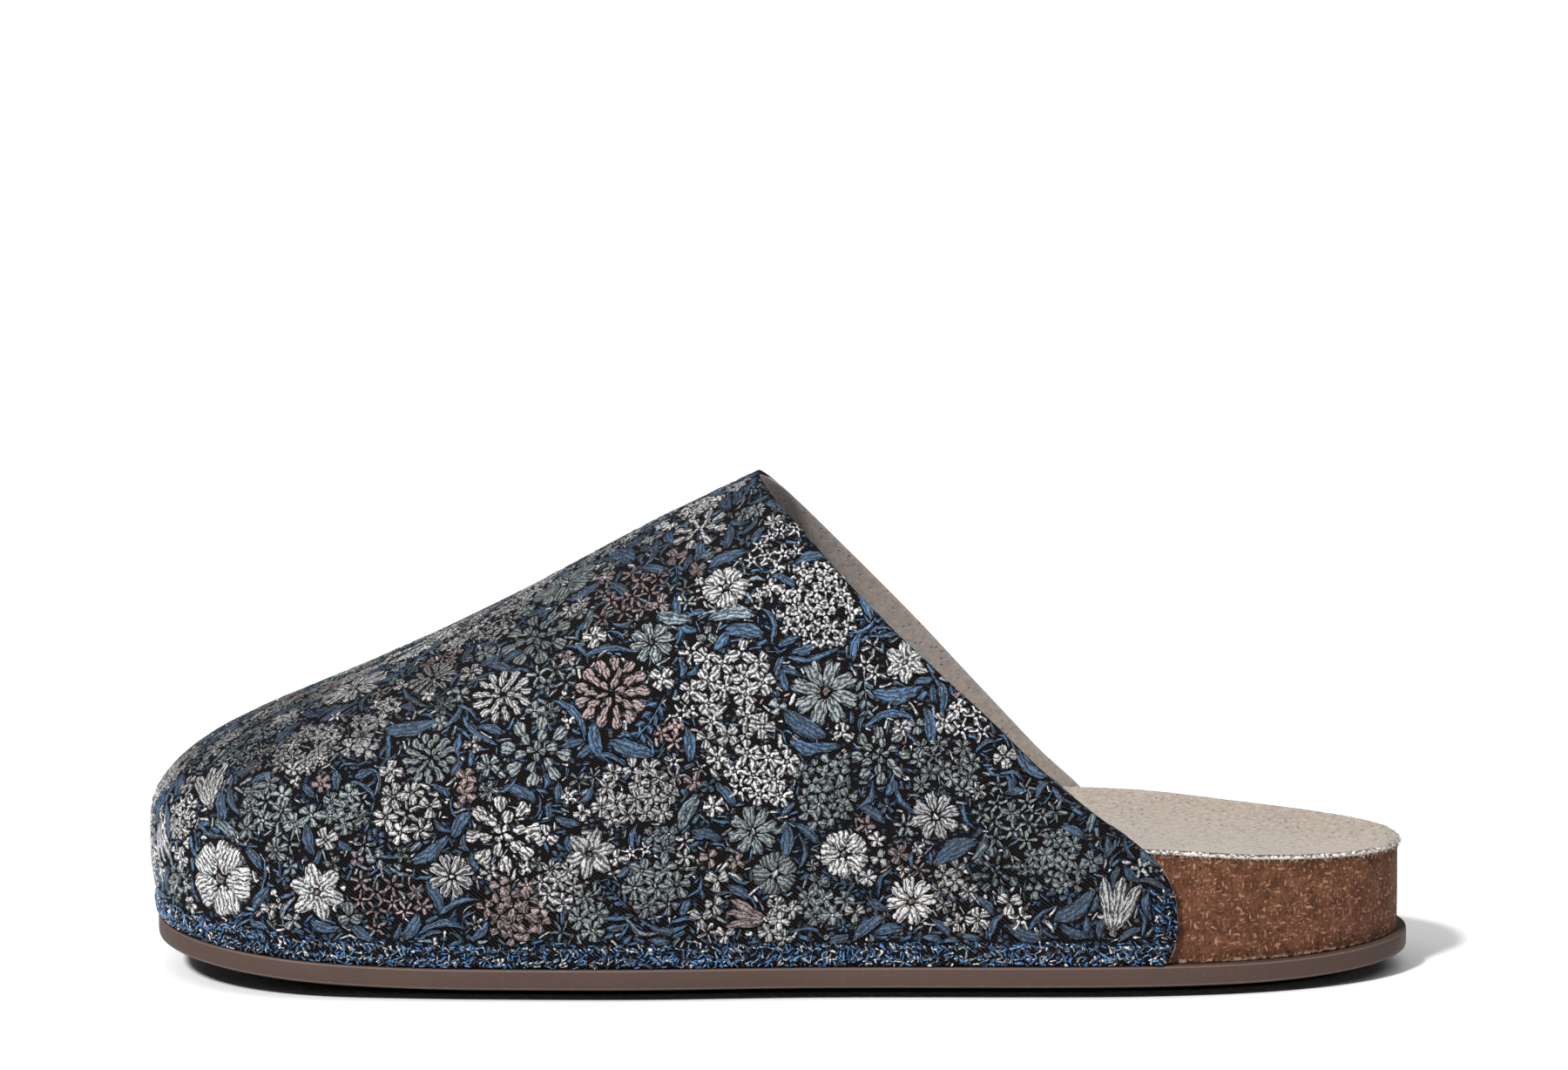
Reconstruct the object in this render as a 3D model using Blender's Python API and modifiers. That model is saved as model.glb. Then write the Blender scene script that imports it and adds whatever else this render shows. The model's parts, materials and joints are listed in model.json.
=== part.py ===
# Left clog mule: a brocade upper over a cork midsole, a suede footbed and a rubber outsole.
# The toe points to -X, the lateral side faces -Y and the floor is z = 0.
# All sizes are in millimetres. Stations are measured along the shoe from its toe tip to its heel,
# and heights from the lower edge of the outsole's rim, which stands off the floor on an inset tread.

from collections import namedtuple

import bmesh
import bpy
import numpy as np

MM = 0.001

# Driving sizes
LENGTH = 264.0  # front of the upper to the back of the outsole
TOE_SETBACK = 1.4  # the outsole's tip lies this far behind the front of the upper
OUTSOLE_THICKNESS = 4.6  # at its rim
TREAD_HEIGHT = 2.0  # the rim's lower edge above the floor
TREAD_INSET = 8.0  # from the rim
TOE_SPRING = 4.8  # lift of the outsole under the toe tip
TOE_SPRING_LENGTH = 70.0
HEEL_SPRING = 1.8  # lift of the outsole under the back of the heel
HEEL_SPRING_LENGTH = 38.0
WALL = 1.3  # brocade and lining together
HEM_HEIGHT = 4.6  # folded and stitched edge of the upper
HEM_RISE = 0.35  # how far the fold stands proud of the wall
BED_THICKNESS = 1.0  # suede footbed
GAP = 0.3  # between pieces that are bonded on the real shoe

# Plan outline: both ends are superellipse rounds on top of the half widths in PLAN
TOE_ROUND, TOE_POWER = 44.0, 2.35
HEEL_ROUND, HEEL_POWER = 76.0, 2.3

Plan = namedtuple("Plan", "station centre lateral medial")
PLAN = (
    Plan(0.0, 4.0, 45.0, 43.0),
    Plan(42.0, 3.2, 46.2, 45.5),
    Plan(70.0, 2.4, 46.8, 48.0),
    Plan(98.0, 1.6, 46.6, 47.4),
    Plan(138.0, 0.4, 42.8, 42.2),
    Plan(186.0, 0.0, 42.2, 39.4),
    Plan(214.0, 0.0, 42.0, 40.4),
    Plan(264.0, 0.0, 41.0, 41.0),
)

# The last: height of the ridge, height of the widest line and power of the arch over it
Last = namedtuple("Last", "station ridge widest power")
LAST = (
    Last(0.0, 42.9, 25.6, 3.0),
    Last(23.0, 50.8, 25.0, 2.9),
    Last(45.0, 59.8, 24.4, 2.6),
    Last(75.0, 74.3, 24.2, 2.35),
    Last(104.0, 90.0, 24.6, 2.25),
    Last(126.0, 101.1, 25.0, 2.2),
    Last(150.0, 113.5, 25.0, 2.2),
    Last(220.0, 148.0, 25.0, 2.2),
)
ARCH_FRONT = 30.0  # the arches fan out from this station on the ridge round the toe
ARCH_FAN = 70.0  # rim length over which the fan turns into square sections
BULGE = 0.5  # the upper at its widest line stands this far outside the outsole
TUCK = 0.4  # and its lower edge this far inside
TOE_OVERHANG = 70.0  # rim length over which the bulge grows to the setback at the toe tip

# The collar: where the upper ends behind each height
Collar = namedtuple("Collar", "height lateral medial")
COLLAR = (
    Collar(4.0, 211.3, 200.5),
    Collar(8.5, 213.2, 202.4),
    Collar(15.0, 213.8, 203.0),
    Collar(20.0, 213.0, 202.0),
    Collar(24.5, 210.8, 199.6),
    Collar(29.0, 206.8, 195.5),
    Collar(36.0, 197.3, 187.8),
    Collar(45.0, 186.4, 179.3),
    Collar(55.5, 175.6, 169.6),
    Collar(66.0, 164.1, 160.0),
    Collar(75.0, 154.4, 151.4),
    Collar(85.0, 144.5, 142.0),
    Collar(94.7, 135.4, 133.3),
    Collar(101.5, 128.2, 127.5),
    Collar(112.0, 118.0, 118.0),
)
HEM_TOP = 27.0  # the fold at the rear edge fades out above this height

# The footbed: height of its rim and how deep it is dished between the rims
Bed = namedtuple("Bed", "station rim dish")
BED = (
    Bed(0.0, 22.0, 0.0),
    Bed(37.0, 19.0, 0.5),
    Bed(82.0, 18.2, 1.0),
    Bed(122.0, 21.5, 2.2),
    Bed(157.0, 26.2, 3.4),
    Bed(187.0, 29.1, 3.8),
    Bed(207.0, 28.7, 3.8),
    Bed(232.0, 26.6, 3.2),
    Bed(252.0, 25.5, 2.2),
    Bed(264.0, 25.1, 0.0),
)
CORK_INSET = TUCK + WALL + GAP  # from the outsole's outline
BED_UPPER_INSET = CORK_INSET + 0.2

# Grid counts
SOLE_STATIONS = 40
SOLE_ACROSS = 10
UPPER_STATIONS = 32
VAULT_STEPS = 10


# Tables and outline


def smooth(rows, column, at):
    """Value of a table's column at the places `at`, on a smooth curve through its rows."""
    keys = np.array([row[0] for row in rows])
    values = np.array([getattr(row, column) for row in rows])
    slopes = np.gradient(values, keys)
    at = np.clip(at, keys[0], keys[-1])
    k = np.clip(np.searchsorted(keys, at) - 1, 0, len(keys) - 2)
    step = keys[k + 1] - keys[k]
    t = (at - keys[k]) / step
    start = (1 + 2 * t) * (1 - t) ** 2 * values[k] + t * (1 - t) ** 2 * step * slopes[k]
    end = t**2 * (3 - 2 * t) * values[k + 1] + t**2 * (t - 1) * step * slopes[k + 1]
    return start + end


def end_round(distance, length, power):
    """Share of the full half width at a distance from a rounded end."""
    share = np.clip(distance / length, 0.0, 1.0)
    return (1 - (1 - share) ** power) ** (1 / power)


def half_width(side, station):
    rounds = end_round(station - TOE_SETBACK, TOE_ROUND, TOE_POWER)
    rounds = rounds * end_round(LENGTH - station, HEEL_ROUND, HEEL_POWER)
    return smooth(PLAN, side, station) * rounds


def rim_table(count=4001):
    """Stations of points along the outline and their distance from the toe tip along it."""
    share = (1 - np.cos(np.linspace(0, np.pi, count))) / 2
    station = TOE_SETBACK + (LENGTH - TOE_SETBACK) * share
    mean = (half_width("lateral", station) + half_width("medial", station)) / 2
    steps = np.hypot(np.diff(station), np.diff(mean))
    return station, np.concatenate([[0.0], np.cumsum(steps)])


RIM_STATIONS, RIM_DISTANCES = rim_table()
RIM_LENGTH = RIM_DISTANCES[-1]


def station_at(distance):
    return np.interp(distance, RIM_DISTANCES, RIM_STATIONS)


def rim(side, distance, outset=0.0):
    """Plan point on the outline, moved outwards by outset, as (station, y)."""
    reach = 0.05
    sign = -1.0 if side == "lateral" else 1.0

    def point(at):
        station = station_at(np.clip(at, 0.0, RIM_LENGTH))
        return station, smooth(PLAN, "centre", station) + sign * half_width(side, station)

    x, y = point(distance)
    before, after = point(distance - reach), point(distance + reach)
    along, across = after[0] - before[0], after[1] - before[1]
    size = np.hypot(along, across)
    return x - sign * across / size * outset, y + sign * along / size * outset


def middle_of_box():
    """Plan point that becomes the origin: the middle of the shoe's box."""
    distance = np.linspace(0, RIM_LENGTH, 2001)
    low = rim("lateral", distance, BULGE)[1].min()
    high = rim("medial", distance, BULGE)[1].max()
    return LENGTH / 2, (low + high) / 2


MIDDLE = middle_of_box()


def spring(station):
    """Lift of the sole off the floor at the toe and at the heel."""
    toe = np.clip(1 - station / TOE_SPRING_LENGTH, 0.0, 1.0)
    heel = np.clip(1 - (LENGTH - station) / HEEL_SPRING_LENGTH, 0.0, 1.0)
    return TOE_SPRING * toe**2 + HEEL_SPRING * heel**2


# Meshes


def mapped_grid(bm, points):
    """Adds a primitive grid whose corners lie at points[column, row], in millimetres."""
    columns, rows = points.shape[0] - 1, points.shape[1] - 1
    placed = []
    for vert in bmesh.ops.create_grid(bm, x_segments=columns, y_segments=rows, size=0.5)["verts"]:
        column = round((vert.co.x + 0.5) * columns)
        row = round((vert.co.y + 0.5) * rows)
        x, y, z = points[column, row]
        vert.co = ((x - MIDDLE[0]) * MM, (y - MIDDLE[1]) * MM, (z + TREAD_HEIGHT) * MM)
        placed.append((vert, column, row))
    return placed


def weld(bm, reach=0.002):
    bmesh.ops.remove_doubles(bm, verts=bm.verts, dist=reach * MM)


def add_object(name, bm, collection, material):
    mesh = bpy.data.meshes.new(name)
    bm.to_mesh(mesh)
    bm.free()
    mesh.shade_smooth()
    mesh.set_sharp_from_angle(angle=np.radians(40))
    mesh.materials.append(material)
    obj = bpy.data.objects.new(name, mesh)
    collection.objects.link(obj)
    return obj


def make_material(name, colour, roughness):
    material = bpy.data.materials.new(name)
    material.use_nodes = True
    shader = material.node_tree.nodes["Principled BSDF"]
    shader.inputs["Base Color"].default_value = (*colour, 1.0)
    shader.inputs["Roughness"].default_value = roughness
    shader.inputs["Metallic"].default_value = 0.0
    return material


def sole_layer(name, collection, material, rings, under, over):
    """A layer of the sole. Its side passes through rings of (outset, share of the height);
    under and over give the heights of its faces from station and place across, -1 to 1."""
    distance = np.linspace(0.0, RIM_LENGTH, SOLE_STATIONS + 1)
    across = np.linspace(-1.0, 1.0, SOLE_ACROSS + 1)

    def face(outset, height):
        lateral = np.stack(rim("lateral", distance, outset), -1)[:, None]
        medial = np.stack(rim("medial", distance, outset), -1)[:, None]
        share = (across[None, :, None] + 1) / 2
        plan = lateral * (1 - share) + medial * share
        station, place = plan[..., 0], np.broadcast_to(across, plan.shape[:2])
        return np.dstack([plan, height(station, place)])

    def ring(outset, share):
        loop = []
        for side, order, place in (("lateral", 1, -1.0), ("medial", -1, 1.0)):
            x, y = (values[::order] for values in rim(side, distance, outset))
            low, high = under(x, place), over(x, place)
            loop.append(np.stack([x, y, low + (high - low) * share], -1))
        return np.concatenate([loop[0], loop[1][1:]])

    bm = bmesh.new()
    mapped_grid(bm, face(rings[0][0], under))
    mapped_grid(bm, np.stack([ring(*row) for row in rings], 1))
    mapped_grid(bm, face(rings[-1][0], over))
    weld(bm, 0.01)
    bmesh.ops.recalc_face_normals(bm, faces=bm.faces)
    if bm.calc_volume(signed=True) < 0:
        bmesh.ops.reverse_faces(bm, faces=bm.faces)
    return add_object(name, bm, collection, material)


# Sole pieces


def outsole_top(station, place=0.0):
    return OUTSOLE_THICKNESS + spring(station) + 0.0 * place


def bed_top(station, place):
    """Top of the footbed: a rim that dips to a dish between its two sides."""
    dish = smooth(BED, "dish", station) * (1 - np.abs(place) ** 2.4)
    return smooth(BED, "rim", station) - dish


def make_outsole(collection, material):
    tread = TREAD_HEIGHT / (TREAD_HEIGHT + OUTSOLE_THICKNESS)
    edge = ((-1.2, 0.0), (-0.5, 0.08), (-0.1, 0.3), (0.0, 0.9), (-0.35, 1.0))
    rings = [(-TREAD_INSET - 0.8, 0.0), (-TREAD_INSET, tread * 0.9)]
    rings += [(outset, tread + (1 - tread) * share) for outset, share in edge]
    return sole_layer(
        "outsole", collection, material, rings, lambda s, p: spring(s) - TREAD_HEIGHT + 0.0 * p, outsole_top
    )


def make_midsole(collection, material):
    rings = ((-CORK_INSET, 0.0), (-CORK_INSET, 1.0))
    return sole_layer(
        "midsole_cork", collection, material, rings,
        lambda s, p: outsole_top(s, p) + GAP,
        lambda s, p: bed_top(s, p) - BED_THICKNESS - GAP,
    )


def make_footbed(collection, material):
    rings = ((-BED_UPPER_INSET, 0.0), (-CORK_INSET, 0.35), (-CORK_INSET - 0.7, 1.0))
    return sole_layer(
        "footbed", collection, material, rings, lambda s, p: bed_top(s, p) - BED_THICKNESS, bed_top
    )


# Upper


def hem_bump(height):
    """Cross-section of the folded edge, 0 to 1, over its height."""
    return 1 - np.clip(np.abs(2 * height / HEM_HEIGHT - 1), 0.0, 1.0) ** 4


def upper_surface(side, distance, level, from_edge=1e3):
    """Outer face of the upper. Level 0 to 1 is the wall from its lower edge to its widest line,
    and 1 to 2 the arch from there to the ridge. from_edge is the distance to the rear edge."""
    station = station_at(distance)
    front = station + ARCH_FRONT * np.exp(-((distance / ARCH_FAN) ** 2))
    ridge_y = smooth(PLAN, "centre", front)
    low = outsole_top(station) + GAP
    widest = smooth(LAST, "widest", station)

    wall = np.clip(level, 0.0, 1.0)
    hem_share = 0.25
    in_hem = np.clip(wall / hem_share, 0.0, 1.0) * HEM_HEIGHT
    above = np.clip((wall - hem_share) / (1 - hem_share), 0.0, 1.0)
    height = in_hem + above * (widest - low - HEM_HEIGHT)
    at_rear = hem_bump(from_edge) * np.clip((HEM_TOP - low - height) / 6.0, 0.0, 1.0)
    rise = HEM_RISE * np.maximum(hem_bump(height), at_rear)
    rise = np.where(level > 1.0, HEM_RISE * at_rear, rise)
    bulge = BULGE + (TOE_SETBACK - BULGE) * np.clip(1 - distance / TOE_OVERHANG, 0.0, 1.0) ** 2
    x, y = rim(side, distance, (bulge + TUCK) * np.sin(wall * np.pi / 2) - TUCK + rise)

    turn = np.clip(level - 1.0, 0.0, 1.0) * np.pi / 2
    power = 2 / smooth(LAST, "power", station)
    spread = np.clip(np.cos(turn), 0.0, 1.0) ** power
    x, y = front + (x - front) * spread, ridge_y + (y - ridge_y) * spread
    crown = smooth(LAST, "ridge", np.clip(x, 0.0, LENGTH))
    z = np.where(level > 1.0, widest + (crown - widest) * np.sin(turn) ** power, low + height)
    return np.stack([x, y, z], -1), rise


def rear_edge(side, level):
    """Distance along the rim at which the upper ends, for each level, by halving."""
    low = np.full(level.shape, 40.0)
    high = np.full(level.shape, RIM_LENGTH - 30.0)
    for _ in range(40):
        middle = (low + high) / 2
        point, _ = upper_surface(side, middle, level)
        inside = point[:, 0] < smooth(COLLAR, side, point[:, 2])
        low, high = np.where(inside, middle, low), np.where(inside, high, middle)
    return low


def upper_levels():
    """Levels of the grid's rows, close together in the hem and even over the arch."""
    wall = np.array([0.0, 0.06, 0.19, 0.25, 0.6])
    return np.concatenate([wall, np.linspace(1.0, 2.0, VAULT_STEPS + 1)])


def make_upper(collection, material):
    levels = upper_levels()
    border = np.array([HEM_HEIGHT, HEM_HEIGHT * 0.8, HEM_HEIGHT * 0.2, 0.0])
    grids, rises = [], []
    for side in ("lateral", "medial"):
        ends = rear_edge(side, levels)[None, :]
        body = np.linspace(0.0, 1.0, UPPER_STATIONS)[:-1, None] * (ends - HEM_HEIGHT)
        distance = np.concatenate([body, ends - border[:, None]])
        from_edge = ends - distance
        points, rise = upper_surface(side, distance, np.broadcast_to(levels, distance.shape), from_edge)
        grids.append(points)
        rises.append(rise)
    points = np.concatenate([grids[0], grids[1][:, -2::-1]], 1)
    rise = np.concatenate([rises[0], rises[1][:, -2::-1]], 1)

    bm = bmesh.new()
    thickness = bm.verts.layers.deform.verify()
    for vert, column, row in mapped_grid(bm, points):
        vert[thickness][0] = (WALL + rise[column, row]) / (WALL + HEM_RISE)
    weld(bm)
    obj = add_object("upper", bm, collection, material)
    obj.vertex_groups.new(name="thickness")
    shell = obj.modifiers.new("Wall", "SOLIDIFY")
    shell.thickness = (WALL + HEM_RISE) * MM
    shell.offset = -1.0
    shell.use_even_offset = True
    shell.vertex_group = "thickness"
    return obj


def main():
    for obj in list(bpy.data.objects):
        bpy.data.objects.remove(obj)
    collection = bpy.data.collections.new("clog_mule")
    bpy.context.scene.collection.children.link(collection)
    make_outsole(collection, make_material("rubber", (0.12, 0.083, 0.068), 0.55))
    make_midsole(collection, make_material("cork", (0.19, 0.085, 0.042), 0.8))
    make_footbed(collection, make_material("suede", (0.55, 0.47, 0.39), 0.95))
    make_upper(collection, make_material("brocade", (0.08, 0.13, 0.2), 0.7))


main()
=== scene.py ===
import json
import math

import bmesh
import bpy
import numpy as np
from mathutils import Matrix, Vector, noise
from mathutils.bvhtree import BVHTree
from mathutils.kdtree import KDTree

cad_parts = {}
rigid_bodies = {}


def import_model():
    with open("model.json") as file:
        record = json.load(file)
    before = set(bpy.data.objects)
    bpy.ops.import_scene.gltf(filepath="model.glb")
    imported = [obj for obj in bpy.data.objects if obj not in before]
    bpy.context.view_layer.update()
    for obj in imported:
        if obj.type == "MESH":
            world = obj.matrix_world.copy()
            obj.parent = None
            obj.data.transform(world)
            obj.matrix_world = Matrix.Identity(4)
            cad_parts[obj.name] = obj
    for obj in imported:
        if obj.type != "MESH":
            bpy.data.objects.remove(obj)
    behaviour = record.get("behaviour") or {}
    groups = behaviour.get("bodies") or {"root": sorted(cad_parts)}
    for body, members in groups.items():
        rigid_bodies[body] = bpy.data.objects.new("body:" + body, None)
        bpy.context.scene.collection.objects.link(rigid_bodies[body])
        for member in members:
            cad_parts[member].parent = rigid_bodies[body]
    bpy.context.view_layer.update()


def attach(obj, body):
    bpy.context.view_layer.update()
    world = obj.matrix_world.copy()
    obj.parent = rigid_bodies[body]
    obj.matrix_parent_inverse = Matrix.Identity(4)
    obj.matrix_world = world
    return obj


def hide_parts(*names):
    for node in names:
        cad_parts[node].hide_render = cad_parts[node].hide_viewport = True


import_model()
mm = 0.001

# the last and the sole, in millimetres from the front of the upper, as in the CAD but for the far collar,
# which lies 1 mm further back
shoe = {
    "length": 264.0,
    "toeSetback": 1.4,
    "outsoleThickness": 4.6,
    "treadHeight": 2.0,  # heights are measured from the rim above the tread
    "toeSpring": (4.8, 70.0),  # lift and length
    "heelSpring": (1.8, 38.0),
    "toeRound": (44.0, 2.35),  # length and power
    "heelRound": (76.0, 2.3),
    "archFront": 30.0,
    "archFan": 70.0,
    "bulge": 0.5,
    "toeOverhang": 70.0,
    "tuck": 0.4,
    "wall": 1.3,
    "gap": 0.3,
    "bedThickness": 1.0,
}
plan = {
    "station": (0.0, 42.0, 70.0, 98.0, 138.0, 186.0, 214.0, 264.0),
    "centre": (4.0, 3.2, 2.4, 1.6, 0.4, 0.0, 0.0, 0.0),
    "lateral": (45.0, 46.2, 46.8, 46.6, 42.8, 42.2, 42.0, 41.0),
    "medial": (43.0, 45.5, 48.0, 47.4, 42.2, 39.4, 40.4, 41.0),
}
last = {
    "station": (0.0, 23.0, 45.0, 75.0, 104.0, 126.0, 150.0, 220.0),
    "ridge": (42.9, 50.8, 59.8, 74.3, 90.0, 101.1, 113.5, 148.0),
    "widest": (25.6, 25.0, 24.4, 24.2, 24.6, 25.0, 25.0, 25.0),
    "power": (3.0, 2.9, 2.6, 2.35, 2.25, 2.2, 2.2, 2.2),
}
collar = {
    "height": (4.0, 8.5, 15.0, 20.0, 24.5, 29.0, 36.0, 45.0, 55.5, 66.0, 75.0, 85.0, 94.7, 101.5, 112.0),
    "lateral": (211.3, 213.2, 213.8, 213.0, 210.8, 206.8, 197.3, 186.4, 175.6, 164.1, 154.4, 144.5,
                135.4, 128.2, 118.0),
    "medial": (200.5, 202.4, 203.0, 202.2, 200.2, 196.4, 188.8, 180.3, 170.6, 161.0, 152.4, 142.9,
               134.0, 127.8, 118.0),
}
bed = {
    "station": (0.0, 37.0, 82.0, 122.0, 157.0, 187.0, 207.0, 232.0, 252.0, 264.0),
    "rim": (22.0, 19.0, 18.2, 21.5, 26.2, 29.1, 28.7, 26.6, 25.5, 25.1),
    "dish": (0.0, 0.5, 1.0, 2.2, 3.4, 3.8, 3.8, 3.2, 2.2, 0.0),
}


def smooth(table, column, at):  # smooth curve through a table's column
    keys = np.array(next(iter(table.values())))
    values = np.array(table[column])
    slopes = np.gradient(values, keys)
    at = np.clip(at, keys[0], keys[-1])
    k = np.clip(np.searchsorted(keys, at) - 1, 0, len(keys) - 2)
    step = keys[k + 1] - keys[k]
    t = (at - keys[k]) / step
    start = (1 + 2 * t) * (1 - t) ** 2 * values[k] + t * (1 - t) ** 2 * step * slopes[k]
    end = t**2 * (3 - 2 * t) * values[k + 1] + t**2 * (t - 1) * step * slopes[k + 1]
    return start + end


def endRound(distance, lengthAndPower):
    length, power = lengthAndPower
    share = np.clip(distance / length, 0.0, 1.0)
    return (1 - (1 - share) ** power) ** (1 / power)


def halfWidth(side, station):
    rounds = endRound(station - shoe["toeSetback"], shoe["toeRound"])
    return smooth(plan, side, station) * rounds * endRound(shoe["length"] - station, shoe["heelRound"])


def rimTable(count=4001):
    share = (1 - np.cos(np.linspace(0, np.pi, count))) / 2
    station = shoe["toeSetback"] + (shoe["length"] - shoe["toeSetback"]) * share
    mean = (halfWidth("lateral", station) + halfWidth("medial", station)) / 2
    return station, np.concatenate([[0.0], np.cumsum(np.hypot(np.diff(station), np.diff(mean)))])


rimStations, rimDistances = rimTable()
rimLength = rimDistances[-1]


def stationAt(distance):
    return np.interp(distance, rimDistances, rimStations)


def rim(side, distance, outset=0.0, reach=0.05):  # plan point on the sole's outline, moved outwards
    sign = -1.0 if side == "lateral" else 1.0

    def point(at):
        station = stationAt(np.clip(at, 0.0, rimLength))
        return station, smooth(plan, "centre", station) + sign * halfWidth(side, station)

    x, y = point(distance)
    before, after = point(distance - reach), point(distance + reach)
    along, across = after[0] - before[0], after[1] - before[1]
    size = np.hypot(along, across)
    return x - sign * across / size * outset, y + sign * along / size * outset


def middleOfBox():
    distance = np.linspace(0, rimLength, 2001)
    low = rim("lateral", distance, shoe["bulge"])[1].min()
    high = rim("medial", distance, shoe["bulge"])[1].max()
    return np.array([shoe["length"] / 2, (low + high) / 2, -shoe["treadHeight"]])


middle = middleOfBox()


def spring(station):
    toe = np.clip(1 - station / shoe["toeSpring"][1], 0.0, 1.0)
    heel = np.clip(1 - (shoe["length"] - station) / shoe["heelSpring"][1], 0.0, 1.0)
    return shoe["toeSpring"][0] * toe**2 + shoe["heelSpring"][0] * heel**2


def outsoleTop(station, place=0.0):  # flat from side to side
    return shoe["outsoleThickness"] + spring(station)


def outsoleUnder(station, place=0.0):
    return spring(station) - shoe["treadHeight"]


def bedTop(station, place):
    dish = smooth(bed, "dish", station) * (1 - np.abs(place) ** 2.4)
    return smooth(bed, "rim", station) - dish


def waves(at, periods, seed):  # even, repeatable unevenness, about -1 to 1
    draw = np.random.default_rng(seed)
    total = sum(np.sin(2 * np.pi * (at / period + draw.random())) for period in periods)
    return total / len(periods)


# meshes from grids of points

weld = {"merge": 0.000006, "thin": 0.000001}  # metres
raggedEdge = {"periods": (1.1, 1.7, 2.9, 7.9), "seeds": {"lateral": 5, "medial": 6}, "taper": 4.0}
rimCrowding = 0.75  # below 1, a layer's columns lie closer together at its rims


def gridFaces(columns, rows, start=0):
    i, j = np.meshgrid(np.arange(columns - 1), np.arange(rows - 1), indexing="ij")
    a = (start + i * rows + j).ravel()
    return np.stack([a, a + rows, a + rows + 1, a + 1], -1)


def facesOut(points, normals):  # faces of a grid, looking along its normals
    faces = gridFaces(*points.shape[:2])
    first = faces[len(faces) // 3]
    a, b, _, d = points.reshape(-1, 3)[first]
    if np.dot(np.cross(b - a, d - a), normals.reshape(-1, 3)[first[0]]) < 0:
        faces = faces[:, ::-1]
    return faces


def meshFrom(name, points, faces):
    mesh = bpy.data.meshes.new(name)
    mesh.from_pydata((points * mm).tolist(), [], faces.tolist())
    return mesh


def cornersOf(mesh):
    corner = np.empty(len(mesh.loops), dtype=np.int32)
    mesh.loops.foreach_get("vertex_index", corner)
    return corner


def setUv(mesh, name, uv):  # one row for each corner
    mesh.uv_layers.new(name=name).data.foreach_set("uv", uv.astype(np.float32).ravel())


def setFloats(mesh, name, values):
    mesh.attributes.new(name, "FLOAT", "POINT").data.foreach_set("value", values.astype(np.float32))


def closeMesh(mesh, outward=True):  # merges seams and poles, then turns the faces out
    bm = bmesh.new()
    bm.from_mesh(mesh)
    bmesh.ops.remove_doubles(bm, verts=bm.verts, dist=weld["merge"])
    bmesh.ops.dissolve_degenerate(bm, edges=bm.edges, dist=weld["thin"])
    if outward:
        bmesh.ops.recalc_face_normals(bm, faces=bm.faces)
        if bm.calc_volume(signed=True) < 0:
            bmesh.ops.reverse_faces(bm, faces=bm.faces)
    bm.to_mesh(mesh)
    bm.free()


def addPiece(name, mesh, material, node=None):
    mesh.shade_smooth()
    mesh.materials.clear()
    mesh.materials.append(material)
    piece = bpy.data.objects.new(name, mesh)
    bpy.context.scene.collection.objects.link(piece)
    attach(piece, "root")
    if node:
        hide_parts(node)
    return piece


def soleLayer(name, material, node, rings, under, over, counts, ragged=0.0):
    stations, across = counts
    distance = np.linspace(0.0, rimLength, stations + 1)
    places = np.linspace(-1.0, 1.0, across + 1)
    places = np.sign(places) * np.abs(places) ** rimCrowding

    def outline(side, outset, share):
        rag = ragged * share * waves(distance, raggedEdge["periods"], raggedEdge["seeds"][side])
        for toEnd in (distance, rimLength - distance):
            rag = rag * np.clip(toEnd / raggedEdge["taper"], 0.0, 1.0)
        return np.stack(rim(side, distance, outset + rag), -1)

    def face(outset, height, share):
        lateral, medial = (outline(side, outset, share)[:, None] for side in ("lateral", "medial"))
        blend = (places[None, :, None] + 1) / 2
        flat = lateral * (1 - blend) + medial * blend
        return np.dstack([flat, height(flat[..., 0], np.broadcast_to(places, flat.shape[:2]))])

    def ring(outset, share):
        loop = []
        for side, order, place in (("lateral", 1, -1.0), ("medial", -1, 1.0)):
            flat = outline(side, outset, share)[::order]
            low, high = under(flat[:, 0], place), over(flat[:, 0], place)
            loop.append(np.column_stack([flat, low + (high - low) * share]))
        return np.concatenate([loop[0], loop[1][1:]])

    grids = [
        face(rings[0][0], under, rings[0][1]),
        np.stack([ring(*row) for row in rings], 1),
        face(rings[-1][0], over, rings[-1][1]),
    ]
    shares = [0.0, np.tile([share for _, share in rings], len(grids[1])), 1.0]
    levels = [np.broadcast_to(share, grid[..., 0].size) for share, grid in zip(shares, grids)]
    points, faces, start = [], [], 0
    for grid in grids:
        faces.append(gridFaces(*grid.shape[:2], start))
        points.append(grid.reshape(-1, 3) - middle)
        start += grid.shape[0] * grid.shape[1]
    mesh = meshFrom(name, np.concatenate(points), np.concatenate(faces))
    setFloats(mesh, "level", np.concatenate(levels))  # 0 at the layer's foot, 1 at its top
    closeMesh(mesh)
    return addPiece(name, mesh, material, node)


# shader maths: a wrapped socket takes the usual operators


class Value:
    def __init__(self, finish, socket):
        self.finish, self.socket = finish, socket

    def math(self, operation, a, b=0.0):
        return self.finish.node("ShaderNodeMath", {"operation": operation}, {0: a, 1: b})

    def __add__(self, other):
        return self.math("ADD", self, other)

    def __sub__(self, other):
        return self.math("SUBTRACT", self, other)

    def __rsub__(self, other):
        return self.math("SUBTRACT", other, self)

    def __mul__(self, other):
        return self.math("MULTIPLY", self, other)

    __radd__, __rmul__ = __add__, __mul__

    def sine(self):
        return self.math("SINE", self)

    def step(self, low, high):  # 0 at low, 1 at high, smooth between
        settings = {"interpolation_type": "SMOOTHSTEP"}
        return self.finish.node("ShaderNodeMapRange", settings, {0: self, 1: low, 2: high})


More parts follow.
